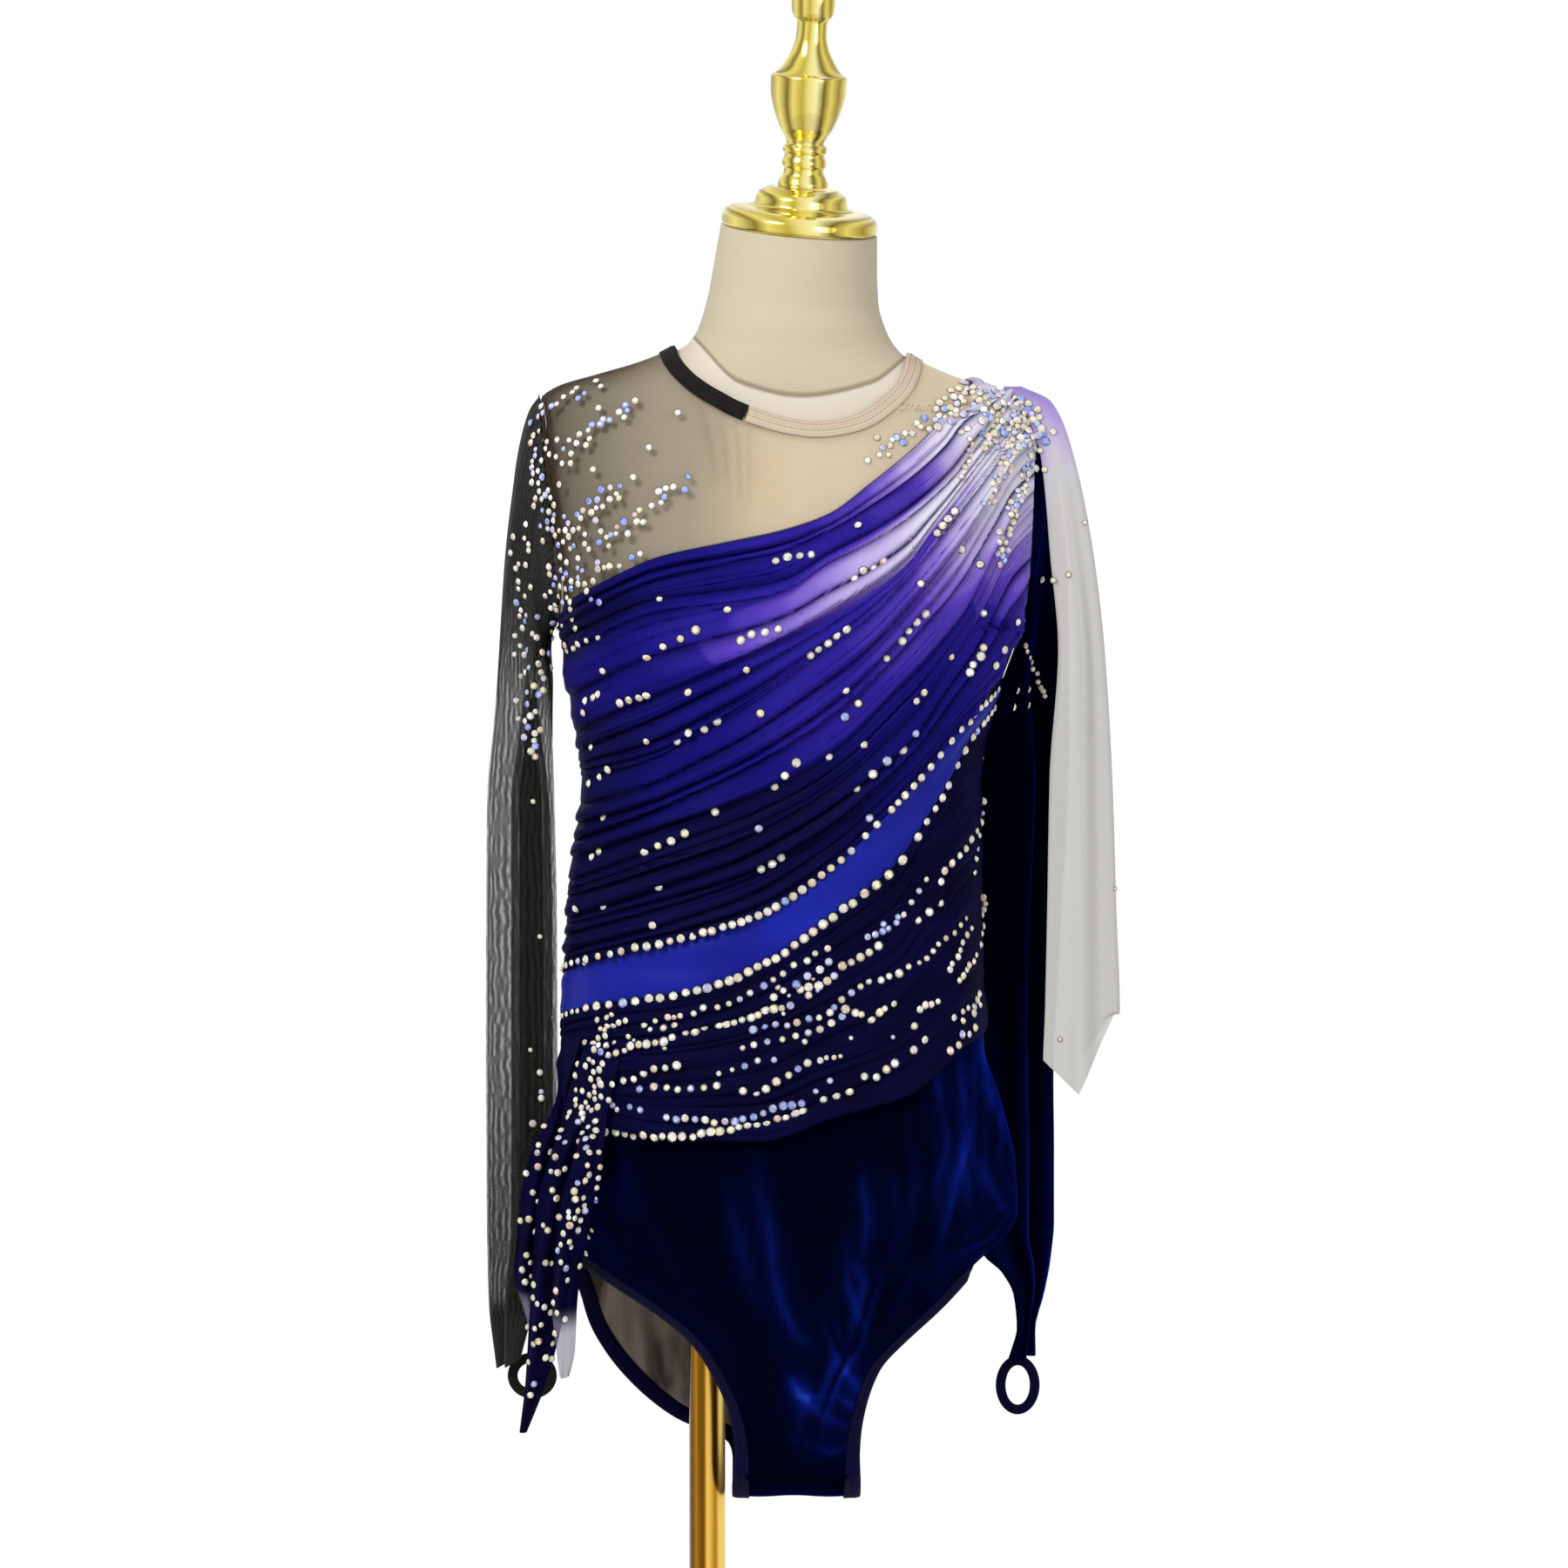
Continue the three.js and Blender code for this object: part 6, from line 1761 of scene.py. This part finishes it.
# Rows on the upper drape: start, end, count
UPPER_ROWS = [
    ((891, 643), (932, 636), 4), ((852, 734), (892, 722), 4), ((742, 753), (800, 722), 4),
    ((710, 806), (744, 798), 4), ((778, 850), (823, 829), 4), ((928, 753), (972, 724), 5),
    ((980, 663), (1014, 645), 4), ((1036, 737), (1062, 704), 4), ((1076, 613), (1096, 588), 4),
    ((1113, 771), (1130, 744), 4), ((888, 902), (914, 876), 3), ((874, 999), (898, 985), 3),
    ((740, 977), (786, 957), 4), ((985, 904), (1036, 860), 4), ((674, 805), (688, 797), 3),
    ((676, 900), (700, 884), 3), ((678, 985), (688, 978), 3), ((653, 745), (664, 740), 3),
    ((1052, 804), (1062, 796), 2), ((971, 790), (985, 806), 2),
]
UPPER_SINGLES = [
    (985, 603), (757, 687), (835, 700), (1057, 670), (1104, 631), (1125, 648), (857, 769), (790, 795),
    (873, 819), (742, 851), (970, 823), (1018, 756), (1092, 754), (1129, 704), (1153, 746), (952, 869),
    (992, 855), (1051, 842), (821, 932), (871, 951), (998, 939), (756, 1018), (749, 1062), (672, 1105),
    (661, 1043), (693, 1041), (687, 732), (692, 770), (679, 858), (693, 939), (670, 818), (1080, 1012),
    (1168, 714), (1143, 764),
]
UPPER = [spot for start, end, count in UPPER_ROWS for spot in row(start, end, count)]
UPPER += [(x, y, 5.4 * STONES.uniform(0.85, 1.1), pick_tint()) for x, y in UPPER_SINGLES]

# %% Rows along both edges of the band
EDGE_LIFT = 0.8
ABOVE = 30  # how far off the cloth the line to it starts


def edge_row(height, offset, start, end, count, size):
    """Stones along a seam, offset millimetres above it, placed on the cloth itself."""
    a = np.linspace(start, end, count) + STONES.normal(0, 0.0012, count)
    z = height(a) + offset + STONES.normal(0, 0.35, count)
    base, out = worn(a, z, True), worn_out(a, z, True)
    return [
        (tuple(at + way * ABOVE), tuple(-way), size * STONES.uniform(0.88, 1.1), pick_tint(0.04, 0.25))
        for at, way in zip(base, out)
    ]


def land_from(starts):
    """As land, for stones that go straight in. On the band's turned edges they stand a little higher."""
    kept = []
    for start, way, size, tint_value in starts:
        where, out, _, _ = FRONT_CLOTH.ray_cast(Vector(start), Vector(way), 2 * ABOVE)
        if where is not None:
            kept.append((tuple(where - Vector(way) * EDGE_LIFT), tuple(-Vector(way)), size, tint_value))
    return kept


EDGE = land_from([spot for args in (
    (band_top, 1.5, 0.02, 0.1, 6, 4.4), (band_top, 1.5, 0.12, 0.74, 30, 5.8),
    (band_top, 1.5, 0.75, 0.98, 17, 5.4),
    (band_low, -1.5, 0.02, 0.1, 6, 4.4), (band_low, -1.5, 0.12, 0.8, 31, 6.6),
    (band_low, -1.5, 0.815, 0.98, 14, 5.8),
) for spot in edge_row(*args)])

# %% The lower drape's rows
# Each line of stones: its path, how many, their size, and the shares of blue and warm ones
LOWER_LINES = [
    (((699, 1214), (728, 1199), (760, 1196), (786, 1185), (834, 1176), (860, 1168), (886, 1158), (907, 1156)),
     24, 5.6, 0.05, 0.35),
    (((739, 1176), (773, 1167), (800, 1160), (836, 1153), (868, 1138), (899, 1118), (933, 1096), (950, 1089)),
     17, 4.8, 0.3, 0.45),
    (((865, 1180), (895, 1178), (925, 1173), (952, 1162)), 8, 5.4, 0.85, 0.05),
    (((958, 1156), (978, 1139), (997, 1127), (1018, 1124), (1044, 1110)), 9, 5.2, 0.1, 0.4),
    (((1044, 1110), (1062, 1102), (1081, 1080), (1097, 1071), (1108, 1054)), 9, 3.8, 0.05, 0.8),
    (((970, 1159), (984, 1164), (997, 1169), (1010, 1163), (1026, 1152)), 7, 5.8, 0.05, 0.3),
    (((690, 1246), (712, 1243), (742, 1230), (777, 1223)), 8, 5.6, 0.05, 0.25),
    (((736, 1251), (755, 1247), (786, 1251), (822, 1246)), 7, 5.2, 0.1, 0.6),
    (((854, 1254), (870, 1255), (896, 1240), (923, 1225), (940, 1217)), 8, 5.4, 0.05, 0.35),
    (((942, 1216), (963, 1211)), 4, 3.4, 0.0, 0.9),
    (((825, 1231), (861, 1222), (886, 1216)), 5, 4.0, 0.5, 0.2),
    (((852, 1203), (894, 1194), (939, 1183), (968, 1167)), 9, 4.8, 0.1, 0.4),
    (((765, 1283), (794, 1285), (823, 1288), (857, 1284), (891, 1272), (920, 1266)), 15, 5.2, 0.85, 0.05),
    (((697, 1297), (731, 1304), (781, 1305), (823, 1299), (868, 1292), (891, 1285), (922, 1274)),
     22, 6.2, 0.03, 0.3),
    (((944, 1261), (976, 1254)), 3, 6.4, 0.03, 0.2), (((936, 1252), (953, 1239)), 2, 4.6, 0.8, 0.0),
    (((992, 1236), (1005, 1239), (1029, 1221)), 4, 6.2, 0.03, 0.4),
    (((1049, 1206), (1061, 1193), (1051, 1179)), 3, 5.4, 0.03, 0.5),
    (((1054, 1158), (1077, 1149)), 4, 5.2, 0.03, 0.3),
    (((1089, 1112), (1098, 1098), (1113, 1066)), 7, 5.0, 0.05, 0.2),
    (((1101, 1126), (1110, 1113), (1120, 1100), (1126, 1082), (1129, 1050), (1130, 1030)),
     16, 5.0, 0.15, 0.3),
    (((1097, 1173), (1110, 1161), (1122, 1154), (1125, 1140)), 14, 5.4, 0.05, 0.6, 3),
    (((1090, 1207), (1112, 1185), (1120, 1168)), 10, 5.4, 0.05, 0.6, 2.5),
    (((886, 1143), (907, 1133), (939, 1114), (952, 1103)), 6, 5.4, 0.5, 0.2),
    (((928, 1134), (947, 1130), (976, 1104), (991, 1097), (1007, 1085)), 9, 5.6, 0.15, 0.5),
    (((997, 1076), (1020, 1066)), 4, 5.2, 0.9, 0.0), (((1012, 1060), (1038, 1050)), 4, 5.2, 0.9, 0.0),
    (((1054, 1059), (1063, 1051), (1080, 1036)), 5, 6.0, 0.03, 0.25),
    (((1030, 1060), (1062, 1010)), 5, 5.0, 0.6, 0.1),
    (((1084, 998), (1108, 976), (1126, 944)), 7, 5.8, 0.1, 0.4),
    (((1118, 1000), (1128, 920)), 7, 5.2, 0.5, 0.2), (((690, 1180), (718, 1172)), 5, 4.8, 0.3, 0.3),
    (((699, 1262), (709, 1275)), 3, 4.6, 0.3, 0.3), (((723, 1272), (735, 1273)), 2, 4.4, 0.9, 0.0),
    (((923, 1197), (943, 1193), (1026, 1190)), 3, 3.8, 0.3, 0.3),
]
LOWER = [spot for line in LOWER_LINES for spot in strung(*line)]
LOWER += (
    strewn((900, 1145), (80, 22), 16, 4.4, -25, 0.4, 0.3)
    + strewn((730, 1196), (60, 22), 22, 4.2, -8, 0.2, 0.4)
)

# %% Strewn shoulders, sprays over the net, strands and tails
# Each line: its path, how many, their size, the shares of blue and warm ones, and how far they stray
SHOULDERS = [spot for line in (
    (((1085, 478), (1112, 450), (1150, 460), (1184, 486)), 240, 5.6, 0.3, 0.45, 7),
    (((1128, 498), (1150, 482), (1172, 476), (1186, 504)), 260, 5.6, 0.3, 0.45, 9),
    (((1074, 492), (1090, 464), (1108, 444)), 70, 5.4, 0.3, 0.45, 5),
    (((1165, 505), (1150, 545), (1130, 580)), 70, 4.8, 0.3, 0.45, 3.4),
    (((1188, 515), (1170, 570), (1155, 610), (1150, 645)), 80, 4.8, 0.3, 0.45, 3.4),
    (((1124, 500), (1112, 520), (1104, 545)), 9, 4.4, 0.3, 0.45, 3),
    (((1002, 532), (1020, 512), (1044, 498), (1066, 480)), 20, 4.8, 0.4, 0.3, 5),
    (((1140, 470), (1185, 500), (1190, 540)), 30, 5.2, 0.3, 0.45, 4),
) for spot in strung(*line)]
SPRAYS = [spot for path, count, spread in (
    (((614, 482), (640, 460), (684, 442)), 17, 4), (((642, 532), (660, 508), (690, 488), (735, 460)), 34, 6),
    (((648, 622), (672, 600), (694, 574), (712, 560)), 30, 7),
    (((692, 626), (712, 606), (745, 588), (789, 546)), 32, 6), (((664, 672), (690, 650), (722, 646)), 18, 6),
    (((610, 490), (618, 540), (630, 590), (642, 640), (650, 690)), 110, 7),
    (((640, 700), (650, 716), (662, 726)), 16, 7), (((596, 610), (602, 700), (606, 780), (612, 870)), 80, 7),
    (((628, 640), (640, 690), (636, 740), (628, 790)), 40, 7), (((648, 560), (662, 640), (670, 700)), 34, 12),
) for spot in strung(path, count, 4.9, 0.3, 0.2, spread)]
SPRAYS += [
    (x, y, 4.8, 0.2)
    for x, y in ((745, 514), (727, 548), (778, 474), (690, 610), (735, 636), (681, 539), (640, 505))
]
TAILS = [spot for path, count, spread in (
    (((690, 1180), (672, 1240), (655, 1300)), 42, 9), (((668, 1270), (672, 1340), (660, 1420)), 30, 6),
    (((640, 1300), (634, 1400), (616, 1500), (604, 1600)), 34, 7),
    (((622, 1240), (610, 1340), (602, 1470)), 18, 6), (((655, 1380), (640, 1480), (622, 1560)), 22, 6),
    (((690, 1290), (680, 1380), (668, 1450)), 12, 5),
    (((697, 1160), (694, 1210), (680, 1250), (674, 1300)), 40, 5),
) for spot in strung(path, count, 4.8, 0.12, 0.4, spread)]
STRANDS = (
    row((1176, 742), (1200, 800), 10, 4.0, 1.0, 0.05, 0.6)
    + row((1196, 664), (1222, 664), 3, 4.6, 2, 0.2, 0.3)
)
STUDS = [
    (1245, 600, 3.2, 0.66), (1280, 1020, 3.2, 0.66), (1217, 1193, 3.4, 0.66), (620, 1075, 3.6, 0.5),
    (609, 1205, 3.2, 0.5), (612, 920, 3.6, 0.5),
]

for name, spots, closest, foil_and_shade_radius in (
    ("stones_upper_drape", UPPER, 4.0, 1.15), ("stones_lower_drape", LOWER, 5.8, 1.15),
    ("stones_right_shoulder", SHOULDERS, 5.2, 1.04), ("stones_left_shoulder", SPRAYS, 6.0, 1.08),
    ("stones_tails", TAILS, 6.0, 1.15), ("stones_strands", STRANDS + STUDS, 4.0, 1.1),
):
    set_stones(name, land(spaced(spots, closest)), foil_and_shade_radius)
set_stones("stones_band_edges", EDGE)

# %% [markdown]
# ## Stitches
# Bindings are held by short straight stitches. Each stitch is a tiny rod laid along the seam by Geometry
# Nodes.

# %% The stitch tree and the stitch lines
stitch_finish = {}
for key, dark, light in (
    ("black", "1a1816", "35302c"), ("skin", "a8937c", "cdb8a0"), ("navy", "04031c", "0b0a3a"),
):
    thread = Finish("thread_" + key, Roughness=0.8, Specular_IOR_Level=0.1)
    thread.feed("Base Color", thread.blend(thread.noise(900, 1), dark, light))
    stitch_finish[key] = thread.material


def stitch_shape(add, named, given, turned):
    """A thin rod."""
    rod = {"Vertices": 6, "Radius": given["Thread Radius"], "Depth": given["Stitch Length"]}
    return {"Instance": add("GeometryNodeMeshCylinder", rod).outputs["Mesh"]}


STITCH_TREE = copies_tree("lay_stitches", [
    ("Stitch Length", "Float", 0.0022), ("Thread Radius", "Float", 0.00028),
], "Stitches", "along", stitch_shape)


def stitches(name, paths, finish, step=3.2):
    """One plain mesh of stitches along paths of points in millimetres."""
    places, ways = [], []
    for path in paths:
        lengths = run_along(path)
        at = np.arange(step / 2, lengths[-1], step)
        spot = np.stack([np.interp(at, lengths, line) for line in path.T], -1)
        places.append(spot)
        ways.append(unit(np.gradient(spot, axis=0)))
    grown(name, STITCH_TREE, np.concatenate(places), {"along": np.concatenate(ways)}, {"Finish": finish})


def along_binding(edge, out, off, share):
    return edge + off * (2 * GAP + 8.8 * share) + out * 2.25


for key, path in (("black", neck_black_path), ("skin", neck_skin_path)):
    stitches(
        "stitches_neck_" + key, [along_binding(*path, share) for share in (0.24, 0.68)], stitch_finish[key],
    )
stitches("stitches_legs", [along_binding(*path, 0.3) for path in LEG_PATHS.values()], stitch_finish["navy"])

# %% [markdown]
# ## Studio
# A plain pale floor under the stand, a white surround, one large soft light from the upper left and a
# weaker one from the right, which models the pleats without hard shadows.

# %% Floor, surround and lights
floor_finish = Finish("studio_floor", Roughness=0.9)
floor_finish.feed("Base Color", floor_finish.blend(floor_finish.noise(2, 2), "eceae6", "f4f2ee"))
FLOOR_REACH, FLOOR_SIDES = 1500, 96
angles = np.linspace(0, 2 * np.pi, FLOOR_SIDES, endpoint=False)
floor_points = [(FLOOR_REACH * math.cos(a), FLOOR_REACH * math.sin(a), 0.0) for a in angles]
floor = mesh_object(
    "studio_floor", np.array(floor_points), [tuple(range(FLOOR_SIDES))], [floor_finish.material],
)

world = bpy.data.worlds.new("studio_surround")
bpy.context.scene.world = world
world.use_nodes = True
air = world.node_tree
air.nodes.clear()
white = (1, 1, 1, 1)
seen = add_node(air, "ShaderNodeBackground", None, {"Color": white, "Strength": 1.0})
lit = add_node(air, "ShaderNodeBackground", None, {"Color": white, "Strength": 0.5})
ray = add_node(air, "ShaderNodeLightPath").outputs
# What the camera and mirrors see is brighter than what lights the dress
rays = {0: ray["Is Camera Ray"], 1: ray["Is Glossy Ray"]}
bright = add_node(air, "ShaderNodeMath", {"operation": "MAXIMUM"}, rays)
surround = {0: bright.outputs[0], 1: lit.outputs[0], 2: seen.outputs[0]}
mix = add_node(air, "ShaderNodeMixShader", None, surround)
add_node(air, "ShaderNodeOutputWorld", None, {0: mix.outputs[0]})


def soft_light(name, place, aim, size, power):
    data = bpy.data.lights.new(name, "AREA")
    data.shape, data.size, data.energy = "DISK", size, power
    light = put(name, data)
    light.location = place
    turn_towards(light, place, aim)


soft_light("key_light", (-1.4, -2.0, 2.9), (0.05, 0, 1.1), 1.1, 52)
soft_light("fill_light", (1.9, -2.2, 1.6), (0.05, 0, 1.0), 1.6, 16)
bpy.context.scene.view_settings.view_transform = "Standard"
